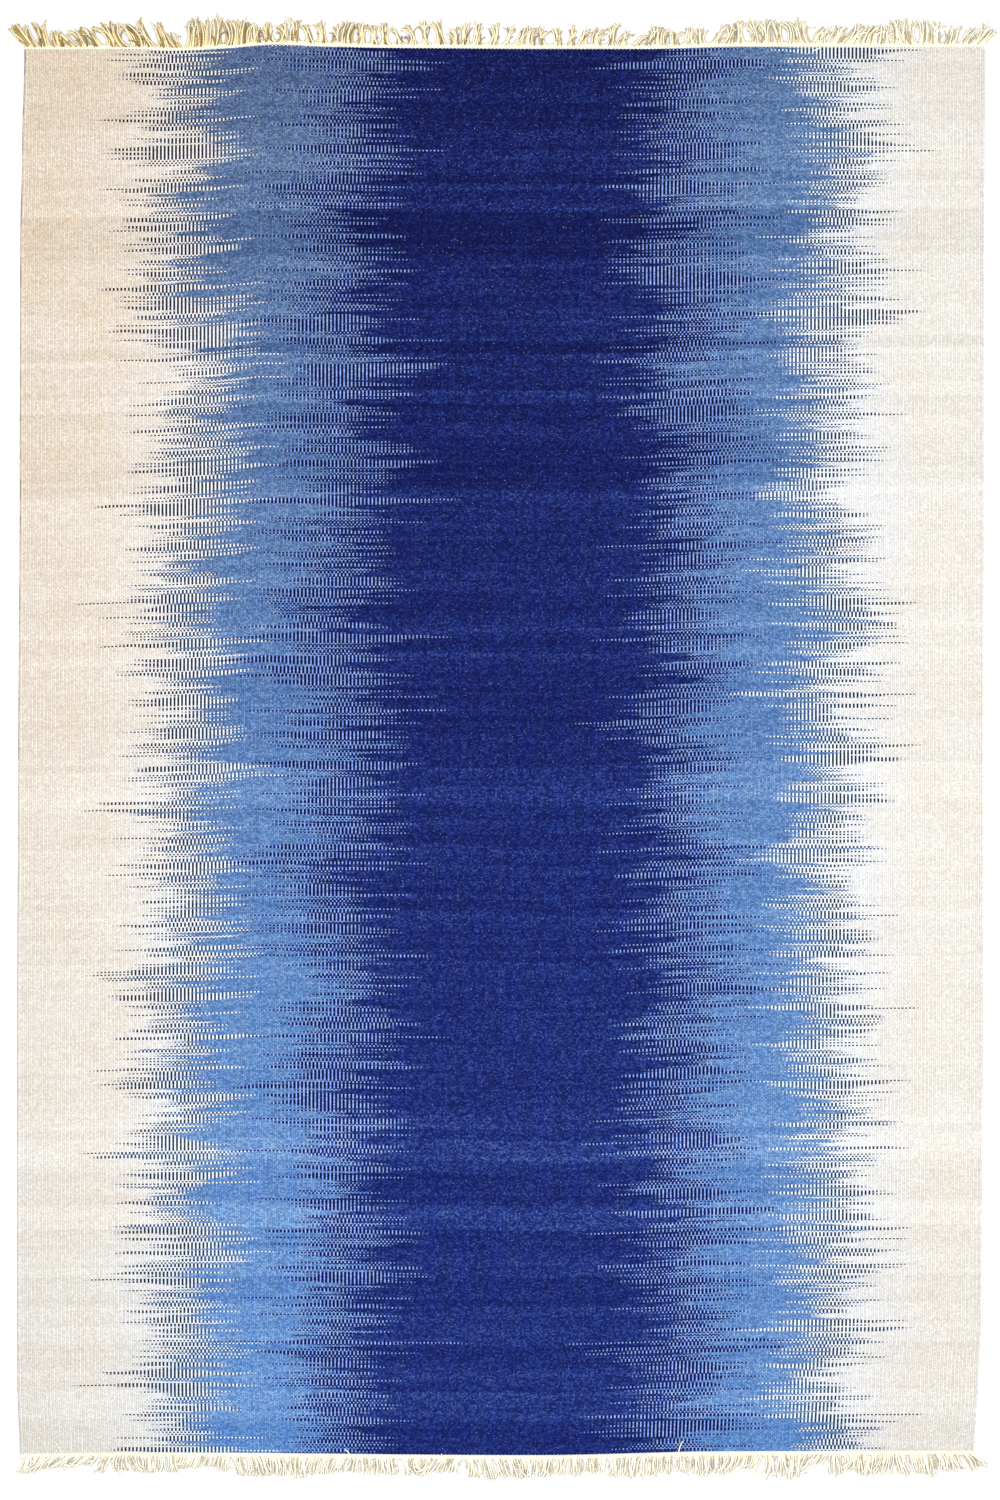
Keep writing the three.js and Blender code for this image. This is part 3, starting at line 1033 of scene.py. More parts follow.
# %% [markdown]
# ## The way of one strand
# A strand starts inside the band, leans as its tuft does, and turns further towards its tip.
# The strands of a tuft draw together and then fan out, so each turns by its place in the
# tuft. Bow and hook are its own. All of them settle on the floor, or on the strands below.

# %% Guides for the strands
parting_gap = 0.3
band_width = 5.5
root_inside_band = 3
root_out = parting_gap + band_width - root_inside_band
strand_thick = 2.6
longest_strand, shortest_reach = 34, 8
guide_steps = 7
# The share of its tuft's lean that a strand has at its root and at its tip
root_lean_share, tip_lean_share = 0.6, 1.2
steepest_lean, steepest_turn = 66, 84
# How far, in degrees, a tuft and its strands bow, and the hook of a tip: now and then strong
tuft_bow, strand_bow = 14, 6
slight_hook, strong_hook, strong_share = 12, 45, 0.2
tuft_splay, gather_change = 12, 20
length_change = 0.08
# The heights of a stray end where it leaves the band and on the cloth, and its way out first
stray_low, stray_high, stray_out = 2.6, 5.5, 2.5


def tuft_habit(hand, lean, reach, gather):
    """What the strands of one tuft share: lean, length, bow, arch off the floor and shape."""
    slant = math.radians(min(steepest_lean, abs(lean) * 0.9))
    return {
        "lean": lean,
        "length": min(longest_strand, reach / math.cos(slant)) + root_inside_band,
        "bow": hand.gauss(0, tuft_bow),
        "arch": hand.uniform(0.2, 2),
        "gather": gather + hand.uniform(-gather_change, gather_change),
        "splay": tuft_splay * hand.uniform(0.3, 1.3),
    }


def strand_guide(hand, habit, root, side, offset, start_high, rest_high, length_share):
    """The points of one strand, from inside the band to its tip on the floor."""
    x, y = root
    length = habit["length"] * length_share * (1 + length_change * hand.gauss(0, 1))
    strong = hand.random() < strong_share
    hook = hand.gauss(0, strong_hook if strong else slight_hook)
    own_bow = hand.gauss(0, strand_bow)
    points = [(x, y, start_high)]
    for step in range(1, guide_steps + 1):
        share = step / guide_steps
        turn = root_lean_share + (tip_lean_share - root_lean_share) * share
        angle = habit["lean"] * turn + offset * habit["splay"] * share
        angle -= offset * habit["gather"] * (1 - 1.5 * share)
        angle += (habit["bow"] + own_bow) * math.cos(math.pi * share) + hook * share ** 3
        angle = math.radians(max(-steepest_turn, min(steepest_turn, angle)))
        x += math.sin(angle) * length / guide_steps
        y += side * math.cos(angle) * length / guide_steps
        settle = min(1, 1.5 * share)
        settle = settle * settle * (3 - 2 * settle)
        rise = habit["arch"] * math.sin(math.pi * share)
        points.append((x, y, start_high + (rest_high - start_high) * settle + rise))
    return points


def root_point(across, side, out):
    """Where a strand leaves the band, from its place across and its distance from the wool."""
    x, y = cloth_point(across, side * cloth_half_length)
    return float(x), float(y) + side * out


def stray_guide(across, side, strays, reach):
    """The points of a warp end that lies over the edge of the wool."""
    x, y = root_point(across, side, 0)
    points = [(x, y + side * stray_out, stray_low)]
    for step in range(1, guide_steps + 1):
        share = step / guide_steps
        high = stray_low + min(1, 2.5 * share) * (stray_high - stray_low)
        out = stray_out - (stray_out + reach) * share
        curve = share * share
        points.append((x + strays * curve, y + side * out, high))
    return points


print("steps in a guide:", guide_steps, "longest strand:", longest_strand, "mm")

# %% [markdown]
# ## The strands of a tuft
# The cords of a tuft lie in three layers, and the lowest are painted the darkest, as shade
# from those above. The thin ends between them are shorter and painted darker still, and lean
# more each their own way.

# %% Tufts
tuft_root_width = 14.5
# Where the corner tufts start, which are fuller
corner_from = 590
# The height of the lowest roots, of a layer of roots, and of a layer at rest in strands
lowest_root, root_layer, rest_layer = 2.2, 0.5, 0.7
# The painted shade on the lowest cords, how much less each layer takes, and the dark shade on each
# layer
lowest_shade, layer_shade_step = 0.66, 0.16
layer_dark_shade = (0.45, 0.1, 0)
thin_root, thin_rest, thin_girth = 3.2, 4.8, 0.6
# Strand numbers set how alike two strands curl: tufts are far apart, cords of a tuft near
tuft_number, cord_number = 8, 0.3
first_thin = 5


def cord_guides(hand, habit, middle, side, tuft, fringe_shade):
    """The cords of one tuft, each with its number, thickness, unshaded share and painted dark
    shade.
    """
    cords = cords_in_corner if abs(middle) > corner_from else cords_in_tuft
    layers = [step % 3 for step in range(cords)]
    hand.shuffle(layers)
    guides = []
    for cord, layer in enumerate(layers):
        offset = 2 * cord / (cords - 1) - 1
        across = middle + offset * tuft_root_width / 2
        root = root_point(across, side, root_out + hand.uniform(-0.5, 0.5))
        start_high = lowest_root + root_layer * layer + hand.uniform(-0.2, 0.2)
        rest_high = strand_thick / 2 + rest_layer * strand_thick * layer
        guide = strand_guide(hand, habit, root, side, offset, start_high, rest_high, 1)
        number = tuft * tuft_number + cord * cord_number
        # Painted shade: the lower a cord lies, the more golden and dark it is painted
        unshaded = 1 - fringe_shade * (lowest_shade - layer_shade_step * layer)
        dark_share = layer_dark_shade[layer] * (0.25 + 0.75 * fringe_shade)
        guides.append((number, hand.uniform(0.8, 1.05), unshaded, dark_share, guide))
    return guides


def thin_guides(hand, habit, middle, side, tuft, fringe_shade):
    """The thin ends of one tuft, in the same form."""
    guides = []
    for thin in range(thin_ends_in_tuft):
        offset = hand.uniform(-1, 1)
        root = root_point(middle + offset * tuft_root_width / 2, side, root_out)
        own = dict(habit, lean=habit["lean"] + hand.gauss(0, 12), arch=1)
        length_share = hand.uniform(0.4, 0.85)
        guide = strand_guide(hand, own, root, side, offset, thin_root, thin_rest, length_share)
        number = tuft * tuft_number + first_thin + thin * cord_number
        # The thin ends are painted dark, to stand for the shadows between the cords
        girth = thin_girth * max(1, 1.3 * fringe_shade - 0.3)
        dark_share = hand.uniform(0.7, 1) * min(1, 0.5 + 0.5 * fringe_shade)
        guides.append((number, girth, 1 - fringe_shade, dark_share, guide))
    return guides


print("layers of dirt, lowest first:", layer_dark_shade)

# %% [markdown]
# ## The strands of a whole end
# Each tuft takes its lean and reach from the table, and its painted shade from its place
# across. A few warp ends that strayed onto the cloth come last. All random draws of an end are
# made here, in one fixed order, so it comes out the same each time.

# %% A whole end
corner_fan = 20
# How far the outermost tufts stay in from the corner, and how far any tuft strays
tuft_inset, tuft_stray = 3, 1.5
lean_change, reach_change = 7, 1.5
# From how near the middle to how far out the drawing together of the tufts changes
gather_span = (60, 400)
first_stray, stray_girth = 900, 0.75


def fringe_guides(side, table, seed, corner_shades, gather):
    """The guides of one end, in the same form, tuft by tuft, and then those that strayed."""
    hand = random.Random(seed)
    guides = []
    for tuft in range(tufts_across):
        share = (tuft + 0.5) / tufts_across * 2 - 1
        middle = share * (cloth_half_width - tuft_inset) + hand.uniform(-tuft_stray, tuft_stray)
        lean = float(read_table(table, middle, 1)) + hand.gauss(0, lean_change)
        reach = float(read_table(table, middle, 2)) + hand.gauss(0, reach_change)
        # Painted shade across the end, eased between its two corners
        fringe_shade = float(np.interp(middle, (-cloth_half_width, cloth_half_width), corner_shades))
        drawn_in = float(np.interp(abs(middle), gather_span, gather))
        habit = tuft_habit(hand, lean, max(reach, shortest_reach), drawn_in)
        if abs(middle) > corner_from:
            habit.update(gather=0, splay=corner_fan)
        guides += cord_guides(hand, habit, middle, side, tuft, fringe_shade)
        guides += thin_guides(hand, habit, middle, side, tuft, fringe_shade)
    for number, (across, end, strays, reach) in enumerate(stray_ends):
        if end == side:
            guide = stray_guide(across, side, strays, reach)
            guides.append((first_stray + number, stray_girth, 1, 0, guide))
    return guides


print("a tuft each", round(2 * (cloth_half_width - tuft_inset) / tufts_across, 1), "mm")

# %% [markdown]
# ## From guides to cotton yarn
# A cotton end is limp at its tip, where no two curl alike. The tree resamples each guide and
# pushes its points about with a noise that grows towards the tip. It keeps them off the
# floor, and makes them narrower to the tip.

# %% Curl and girth of a strand
strand_steps, strand_sides = 11, 6
strand_curl, curl_size = 2.5 * mm, 12 * mm
# How far apart in the noise two strands lie whose numbers differ by one
number_apart = 0.37
# How strong the curl is in X, Y and Z, where 1 is half of its size either way
curl_shape = (2, 2, 1.2)
tip_girth = 0.72


def curl_guides(tree, given, share):
    """The guides, resampled and pushed about by a noise that grows towards the tip."""
    lines = add_node(tree, "GeometryNodeMeshToCurve", None, {0: given.outputs["Geometry"]})
    fine = add_node(tree, "GeometryNodeResampleCurve", None, {
        "Curve": lines, "Count": given.outputs["Steps"],
    })
    number = add_node(tree, "GeometryNodeInputNamedAttribute", {"data_type": "FLOAT"}, {
        "Name": "strand",
    })
    apart = add_node(tree, "ShaderNodeCombineXYZ", None, {
        2: add_node(tree, "ShaderNodeMath", {"operation": "MULTIPLY"}, {
            0: number, 1: number_apart,
        }),
    })
    scaled = add_node(tree, "ShaderNodeVectorMath", {"operation": "DIVIDE"}, {
        0: add_node(tree, "GeometryNodeInputPosition"), 1: given.outputs["Curl Size"],
    })
    seeded = add_node(tree, "ShaderNodeVectorMath", {"operation": "ADD"}, {0: scaled, 1: apart})
    noise = add_node(tree, "ShaderNodeTexNoise", None, {
        "Vector": seeded, "Scale": 1, "Detail": 1,
    })
    centred = add_node(tree, "ShaderNodeVectorMath", {"operation": "SUBTRACT"}, {
        0: noise.outputs["Color"], 1: (0.5, 0.5, 0.5),
    })
    shaped = add_node(tree, "ShaderNodeVectorMath", {"operation": "MULTIPLY"}, {
        0: centred, 1: curl_shape,
    })
    growing = add_node(tree, "ShaderNodeMath", {"operation": "MULTIPLY"}, {
        0: share, 1: given.outputs["Curl"],
    })
    push = add_node(tree, "ShaderNodeVectorMath", {"operation": "SCALE"}, {
        0: shaped, "Scale": growing,
    })
    return add_node(tree, "GeometryNodeSetPosition", None, {"Geometry": fine, "Offset": push})


def rest_on_floor(tree, given, curled, share):
    """The strands, lifted to lie on the floor, with a girth that narrows to the tip."""
    own_girth = add_node(tree, "GeometryNodeInputNamedAttribute", {"data_type": "FLOAT"}, {
        "Name": "girth",
    })
    thickness = add_node(tree, "ShaderNodeMath", {"operation": "MULTIPLY"}, {
        0: given.outputs["Thickness"], 1: own_girth,
    })
    radius = add_node(tree, "ShaderNodeMath", {"operation": "MULTIPLY"}, {0: thickness, 1: 0.5})
    place = add_node(tree, "ShaderNodeSeparateXYZ", None, {
        0: add_node(tree, "GeometryNodeInputPosition"),
    })
    lifted = add_node(tree, "ShaderNodeMath", {"operation": "MAXIMUM"}, {
        0: place.outputs["Z"], 1: radius,
    })
    on_floor = add_node(tree, "ShaderNodeCombineXYZ", None, {
        0: place.outputs["X"], 1: place.outputs["Y"], 2: lifted,
    })
    resting = add_node(tree, "GeometryNodeSetPosition", None, {
        "Geometry": curled, "Position": on_floor,
    })
    taper = add_node(tree, "ShaderNodeMapRange", None, {
        "Value": share, "To Min": 1, "To Max": tip_girth,
    })
    girth = add_node(tree, "ShaderNodeMath", {"operation": "MULTIPLY"}, {0: radius, 1: taper})
    return add_node(tree, "GeometryNodeSetCurveRadius", None, {
        "Curve": resting, "Radius": girth,
    })


print("a strand of", strand_thick, "mm has", strand_sides, "sides")

# %% [markdown]
# ## A surface with places of its own
# A six-sided ring is swept along each strand. The twist of its plies is too fine to model on
# a thousand strands. So the tree stores how far along and how far round the yarn each point
# is, for the material to draw the twist, and how far it faces up and to the left, because
# painted shade lies under each strand and along its right side.

# %% Yarn swept along a strand
# Faces turned this way, up and to the left, get no painted shade
lit_side = (-0.5, 0, 0.87)


def sweep_yarn(tree, given, thick, length):
    """The yarn's surface, with the place of each point along it and round it."""
    along = add_node(tree, "GeometryNodeCaptureAttribute", None, {0: thick})
    along.capture_items.new("FLOAT", "Along")
    tree.links.new(length, along.inputs["Along"])
    ring = add_node(tree, "GeometryNodeCurvePrimitiveCircle", None, {
        "Resolution": given.outputs["Sides"], "Radius": 1.0,
    })
    ring_share = add_node(tree, "GeometryNodeSplineParameter")
    around = add_node(tree, "GeometryNodeCaptureAttribute", None, {0: ring})
    around.capture_items.new("FLOAT", "Around")
    turned = add_node(tree, "ShaderNodeMath", {"operation": "MULTIPLY"}, {
        0: ring_share.outputs["Factor"], 1: 2 * math.pi,
    })
    tree.links.new(turned.outputs[0], around.inputs["Around"])
    swept = add_node(tree, "GeometryNodeCurveToMesh", None, {
        "Curve": along, "Profile Curve": around, "Fill Caps": True,
    })
    if "Scale" in swept.inputs:
        radius = add_node(tree, "GeometryNodeInputRadius")
        tree.links.new(radius.outputs[0], swept.inputs["Scale"])
    return swept, along.outputs["Along"], around.outputs["Around"]


def mark_yarn(tree, swept, along, around):
    """Stores each point's place along and round the yarn, and how far it faces up and left."""
    twist = add_node(tree, "ShaderNodeCombineXYZ", None, {
        0: add_node(tree, "ShaderNodeMath", {"operation": "COSINE"}, {0: around}),
        1: add_node(tree, "ShaderNodeMath", {"operation": "SINE"}, {0: around}),
        2: along,
    })
    marked = add_node(tree, "GeometryNodeStoreNamedAttribute", {"data_type": "FLOAT_VECTOR"}, {
        "Geometry": swept, "Name": "yarn", "Value": twist,
    })
    facing = add_node(tree, "ShaderNodeVectorMath", {"operation": "DOT_PRODUCT"}, {
        0: add_node(tree, "GeometryNodeInputNormal"), 1: lit_side,
    })
    return add_node(tree, "GeometryNodeStoreNamedAttribute", {"data_type": "FLOAT"}, {
        "Geometry": marked, "Name": "upward", "Value": facing.outputs["Value"],
    })


print("clean side:", lit_side)

# %% [markdown]
# ## The whole strand tree
# Its named inputs hold the sizes of the yarn, so that both fringes, or another rug's, can be
# grown with it. It ends by making its instances real and giving them their cotton.

# %% Strand tree
def strand_tree():
    """Geometry Nodes that turn guide lines into curled, tapered yarn."""
    tree = bpy.data.node_groups.new("cotton_strands", "GeometryNodeTree")
    sockets = [
        ("Geometry", "NodeSocketGeometry", None),
        ("Thickness", "NodeSocketFloat", strand_thick * mm),
        ("Steps", "NodeSocketInt", strand_steps),
        ("Sides", "NodeSocketInt", strand_sides),
        ("Curl", "NodeSocketFloat", strand_curl),
        ("Curl Size", "NodeSocketFloat", curl_size),
        ("Cotton", "NodeSocketMaterial", None),
    ]
    for name, kind, value in sockets:
        socket = tree.interface.new_socket(name, in_out="INPUT", socket_type=kind)
        if value is not None:
            socket.default_value = value
    tree.interface.new_socket("Geometry", in_out="OUTPUT", socket_type="NodeSocketGeometry")
    given = add_node(tree, "NodeGroupInput")
    parameter = add_node(tree, "GeometryNodeSplineParameter")
    curled = curl_guides(tree, given, parameter.outputs["Factor"])
    thick = rest_on_floor(tree, given, curled, parameter.outputs["Factor"])
    swept, along, around = sweep_yarn(tree, given, thick, parameter.outputs["Length"])
    marked = mark_yarn(tree, swept, along, around)
    smooth = add_node(tree, "GeometryNodeSetShadeSmooth", None, {0: marked})
    whole = add_node(tree, "GeometryNodeRealizeInstances", None, {0: smooth})
    clothed = add_node(tree, "GeometryNodeSetMaterial", None, {
        "Geometry": whole, "Material": given.outputs["Cotton"],
    })
    add_node(tree, "NodeGroupOutput", None, {0: clothed})
    return tree


strands = strand_tree()
print("strand nodes:", len(strands.nodes))

# %% [markdown]
# ## Run a tree and keep its mesh
# A modifier runs the tree on an object, its inputs found by name. The mesh that comes out is
# kept as a plain one, and the modifier and its source are removed.

# %% Grow
def grow(source, tree, values):
    """Runs a Geometry Nodes tree on an object and returns what it makes as a plain mesh."""
    modifier = source.modifiers.new("grow", "NODES")
    modifier.node_group = tree
    identifiers = {
        item.name: item.identifier for item in tree.interface.items_tree
        if item.item_type == "SOCKET" and item.in_out == "INPUT"
    }
    for name, value in values.items():
        modifier[identifiers[name]] = value
    evaluated = source.evaluated_get(bpy.context.evaluated_depsgraph_get())
    mesh = bpy.data.meshes.new_from_object(evaluated)
    source.modifiers.remove(modifier)
    bpy.data.objects.remove(source)
    return mesh


tree_inputs = [item.name for item in strands.interface.items_tree if item.in_out == "INPUT"]
print("inputs of the strand tree:", tree_inputs)

# %% [markdown]
# ## Undyed cotton
# Cotton is matt and a warm off-white, with fine fuzz that breaks up what little light it
# throws back. Warp and end bands have this finish in common, over a relief of their own.

# %% Cotton finish
# Cotton in full light, in painted golden shade and in painted deep shade
cotton_unshaded, cotton_gold_shade, cotton_dark_shade = "#FDFAEB", "#FCD982", "#221506"
fuzz_size, cotton_relief = 0.6 * mm, 0.3 * mm


def cotton_finish(tree, output, relief, colour):
    """Finishes a cotton material: a matt fibre with fine fuzz over its relief."""
    place = add_node(tree, "ShaderNodeTexCoord").outputs["Object"]
    fibres = add_node(tree, "ShaderNodeTexNoise", None, {
        "Vector": place, "Scale": 1 / fuzz_size, "Detail": 2,
    })
    height = add_node(tree, "ShaderNodeMath", {"operation": "MULTIPLY_ADD"}, {
        0: fibres.outputs["Fac"], 1: 0.3, 2: relief,
    })
    bump = add_node(tree, "ShaderNodeBump", None, {"Distance": cotton_relief, "Height": height})
    yarn = add_node(tree, "ShaderNodeBsdfPrincipled", None, {
        "Base Color": colour, "Normal": bump, "Roughness": 0.85,
        "Specular IOR Level": 0.2, "Sheen Weight": 0.05, "Sheen Roughness": 0.5,
    })
    tree.links.new(yarn.outputs[0], output.inputs["Surface"])


print("clean, dusty and soiled cotton:", cotton_unshaded, cotton_gold_shade, cotton_dark_shade)

# %% [markdown]
# ## Twist and tone of the warp
# The warp is a soft yarn of three plies, twisted together. Its twist reads as slanting
# grooves, which are drawn from the place along and round each strand. Where it is in painted
# shade it is yellower, broken up in slubs of a few millimetres.

# %% Twist and tone
ply_count = 3
ply_turn = 10 * mm
slub_size = 5 * mm


def ply_ridge(tree, parts):
    """How high a point lies in the twist of the plies: 0 in a groove, 1 on a ridge."""
    angle = add_node(tree, "ShaderNodeMath", {"operation": "ARCTAN2"}, {
        0: parts.outputs["Y"], 1: parts.outputs["X"],
    })
    turns = add_node(tree, "ShaderNodeMath", {"operation": "MULTIPLY"}, {
        0: parts.outputs["Z"], 1: 2 * math.pi * ply_count / ply_turn,
    })
    phase = add_node(tree, "ShaderNodeMath", {"operation": "MULTIPLY_ADD"}, {
        0: angle, 1: ply_count, 2: turns,
    })
    wave = add_node(tree, "ShaderNodeMath", {"operation": "SINE"}, {0: phase})
    return add_node(tree, "ShaderNodeMath", {"operation": "MULTIPLY_ADD"}, {
        0: wave, 1: 0.5, 2: 0.5,
    })


def shaded_tone(tree, unshaded):
    """The cotton's own colour, yellower where it is in painted shade, in slubs of a few
    millimetres.
    """
    slubs = add_node(tree, "ShaderNodeTexNoise", None, {
        "Vector": add_node(tree, "ShaderNodeTexCoord").outputs["Object"],
        "Scale": 1 / slub_size, "Detail": 2,
    })
    with_slubs = add_node(tree, "ShaderNodeMath", {"operation": "MULTIPLY_ADD"}, {
        0: slubs.outputs["Fac"], 1: 0.4, 2: unshaded,
    })
    unshaded_share = add_node(tree, "ShaderNodeMapRange", None, {
        "Value": with_slubs, "From Min": 0.2, "From Max": 1.2,
    })
    return add_node(tree, "ShaderNodeMix", {"data_type": "RGBA"}, {
        "Factor": unshaded_share, 6: linear(cotton_gold_shade), 7: linear(cotton_unshaded),
    }).outputs[2]


print("plies:", ply_count, "with a turn in", round(ply_turn / mm), "mm")

# %% [markdown]
# ## Painted shade on the warp
# The thin ends and the lowest cords are painted tan to brown as shade, most of all at the
# roots. All strands are painted darker underneath and along their right side, and a little in
# their grooves. A surface can only have one colour, so the darkest of these wins.

# %% Cotton warp
# How far along the yarn the painted shade of the root starts to thin out, and where it ends
root_shade_from, root_shade_to = 3 * mm, 13 * mm
root_shade, least_shade = 0.9, 0.75
groove_shade = 0.1


def painted_shade_share(tree, parts, ridge, unshaded):
    """How much painted shade a point has: that of its strand, and more underneath and in grooves.
    """
    # Painted shade near the roots, underneath the strands and in their grooves
    near_root = add_node(tree, "ShaderNodeMapRange", None, {
        "Value": parts.outputs["Z"], "From Min": root_shade_from, "From Max": root_shade_to,
        "To Min": root_shade, "To Max": 0,
    })
    upward = add_node(tree, "ShaderNodeAttribute", {"attribute_name": "upward"})
    underside = add_node(tree, "ShaderNodeMapRange", None, {
        "Value": upward.outputs["Fac"], "From Min": 0.1, "From Max": 0.8,
        "To Min": 1, "To Max": 0,
    })
    groove = add_node(tree, "ShaderNodeMapRange", None, {
        "Value": ridge, "To Min": groove_shade, "To Max": 0,
    })
    darkness = add_node(tree, "ShaderNodeMath", {"operation": "MULTIPLY"}, {
        0: add_node(tree, "ShaderNodeMath", {"operation": "MAXIMUM"}, {
            0: near_root, 1: least_shade,
        }),
        1: add_node(tree, "ShaderNodeAttribute", {"attribute_name": "dark_share"}).outputs["Fac"],
    })
    for painted_dark in (underside, groove):
        share = add_node(tree, "ShaderNodeMath", {"operation": "MULTIPLY"}, {
            0: painted_dark, 1: add_node(tree, "ShaderNodeMapRange", None, {
                "Value": unshaded, "To Min": 1, "To Max": 0.5,
            }),
        })
        darkness = add_node(tree, "ShaderNodeMath", {"operation": "MAXIMUM"}, {0: darkness, 1: share})
    return darkness


def warp_material():
    """Plied cotton warp, with its twist drawn from the strand's own places."""
    material, tree, output = new_material("plied_cotton_warp")
    yarn = add_node(tree, "ShaderNodeAttribute", {"attribute_name": "yarn"})
    parts = add_node(tree, "ShaderNodeSeparateXYZ", None, {0: yarn.outputs["Vector"]})
    unshaded = add_node(tree, "ShaderNodeAttribute", {"attribute_name": "unshaded"}).outputs["Fac"]
    ridge = ply_ridge(tree, parts)
    # Painted shade laid over the cotton's own colour
    shaded_warp = add_node(tree, "ShaderNodeMix", {"data_type": "RGBA"}, {
        "Factor": painted_shade_share(tree, parts, ridge, unshaded),
        6: shaded_tone(tree, unshaded), 7: linear(cotton_dark_shade),
    })
    cotton_finish(tree, output, ridge, shaded_warp.outputs[2])
    return material


cotton_warp = warp_material()
print("warp nodes:", len(cotton_warp.node_tree.nodes))

# %% [markdown]
# ## Cotton web
# The end bands are woven of the same cotton, beaten flat and clean. Their floats are modelled,
# so the material only adds the soft changes of tone of combed cotton, with painted shade where
# its relief lies low.

# %% Cotton web
web_crest, web_groove = "#EFEBDA", "#DED6BF"
comb_size = 2.2 * mm


def web_material():
    """The cotton where it is woven into the end band."""
    material, tree, output = new_material("woven_cotton_web")
    combed = add_node(tree, "ShaderNodeTexNoise", None, {
        "Vector": add_node(tree, "ShaderNodeTexCoord").outputs["Object"],
        "Scale": 1 / comb_size, "Detail": 2,
    })
    # Darker where the relief lies low: painted shade in the hollows
    colour = add_node(tree, "ShaderNodeMix", {"data_type": "RGBA"}, {
        "Factor": combed.outputs["Fac"], 6: linear(web_groove), 7: linear(web_crest),
    })
    cotton_finish(tree, output, combed.outputs["Fac"], colour.outputs[2])
    return material


cotton_web = web_material()
print("web nodes:", len(cotton_web.node_tree.nodes))

# %% [markdown]
# ## Both fringes
# The guides of an end become one mesh of edges. Its points carry the number, thickness,
# unshaded share and painted dark shade of their strand, which the tree and the material read
# by name. The far fringe has more painted shade than the near one, most of all at the left,
# and draws together more.

# %% Grow the fringe
def grow_fringe(name, side, table, seed, corner_shades, gather):
    """All the strands of one end as one mesh."""
    points, edges, values = [], [], {"strand": [], "girth": [], "unshaded": [], "dark_share": []}
    for number, girth, unshaded, dark_share, guide in fringe_guides(side, table, seed, corner_shades, gather):
        first = len(points)
        points += guide
        edges += [(first + step, first + step + 1) for step in range(guide_steps)]
        for attribute, value in zip(values, (number, girth, unshaded, dark_share)):
            values[attribute] += [value] * len(guide)
    mesh = bpy.data.meshes.new(name + "_guides")
    mesh.from_pydata((np.array(points) * mm).tolist(), edges, [])
    for attribute, numbers in values.items():
        layer = mesh.attributes.new(attribute, "FLOAT", "POINT")
        layer.data.foreach_set("value", np.array(numbers, np.float32))
    source = bpy.data.objects.new(name + "_guides", mesh)
    bpy.context.scene.collection.objects.link(source)
    made = bpy.data.objects.new(name, grow(source, strands, {
        "Thickness": strand_thick * mm,
        "Steps": strand_steps,
        "Sides": strand_sides,
        "Curl": strand_curl,
        "Curl Size": curl_size,
        "Cotton": cotton_warp,
    }))
    bpy.context.scene.collection.objects.link(made)
    print(name, "faces:", len(made.data.polygons))
    return made


# After the seed: the painted shade at the left and the right corner, where 0 is none, and how
# far tufts draw together, in degrees, in the middle and towards the corners
fringes = {
    "far": grow_fringe("warp_fringe_far", 1, far_fringe, 11, (1.5, 0.45), (58, 18)),
    "near": grow_fringe("warp_fringe_near", -1, near_fringe, 23, (0.2, 0.3), (25, 10)),
}

# %% [markdown]
# ## The end bands
# Between wool and fringe the weaver beats in a few picks of cotton, so that the wool can't
# slip off the warp. They show as a narrow cream web, whose outer edge the cords hide. Its
# floats are big enough to model: one small pillow is instanced on a point for each float.

# %% Float tree
float_wide, float_high, float_deep = 3.3, 2.7, 1.7
# How far a float lies out of true, either way, in radians
float_tilt = (0.1, 0.15, 0.2)


def float_tree():
    """Geometry Nodes that set a plump float of yarn on each point."""
    tree = bpy.data.node_groups.new("cotton_floats", "GeometryNodeTree")
    for name, kind in (
        ("Geometry", "NodeSocketGeometry"),
        ("Float Size", "NodeSocketVector"),
        ("Cotton", "NodeSocketMaterial"),
    ):
        tree.interface.new_socket(name, in_out="INPUT", socket_type=kind)
    tree.interface.new_socket("Geometry", in_out="OUTPUT", socket_type="NodeSocketGeometry")
    given = add_node(tree, "NodeGroupInput")
    pillow = add_node(tree, "GeometryNodeMeshUVSphere", None, {
        "Segments": 8, "Rings": 5, "Radius": 0.5,
    })
    dots = add_node(tree, "GeometryNodeMeshToPoints", None, {"Mesh": given.outputs["Geometry"]})
    tilt = add_node(tree, "FunctionNodeRandomValue", {"data_type": "FLOAT_VECTOR"}, {
        0: tuple(-turn for turn in float_tilt), 1: float_tilt, "Seed": 5,
    })
    placed = add_node(tree, "GeometryNodeInstanceOnPoints", None, {
        "Points": dots, "Instance": pillow, "Rotation": tilt, "Scale": given.outputs["Float Size"],
    })
    whole = add_node(tree, "GeometryNodeRealizeInstances", None, {0: placed})
    smooth = add_node(tree, "GeometryNodeSetShadeSmooth", None, {0: whole})
    clothed = add_node(tree, "GeometryNodeSetMaterial", None, {
        "Geometry": smooth, "Material": given.outputs["Cotton"],
    })
    add_node(tree, "NodeGroupOutput", None, {0: clothed})
    return tree


floats = float_tree()
print("float nodes:", len(floats.nodes))

# %% [markdown]
# ## Three picks of cotton
# The points lie half a float up in every other column, as in the wool. A plain core fills what
# lies behind the floats, and the two are joined, because they are one piece on the loom.

# %% End bands
band_picks = 3
band_columns = int(2 * cloth_half_width / float_width)
# How far out the first float lies, in floats, and the height of the floats, which falls outwards
first_float = 0.2
crown_height, crown_fall = 4.1, 0.3
# Rows of: distance out from the wool, height
core_section = [(-0.1, 0.2), (4.6, 0.2), (5.2, 1.6), (4.6, 3.2), (0.6, 4.3), (-0.1, 3.3)]
core_steps = 2 * tufts_across
core_inset = 1.5


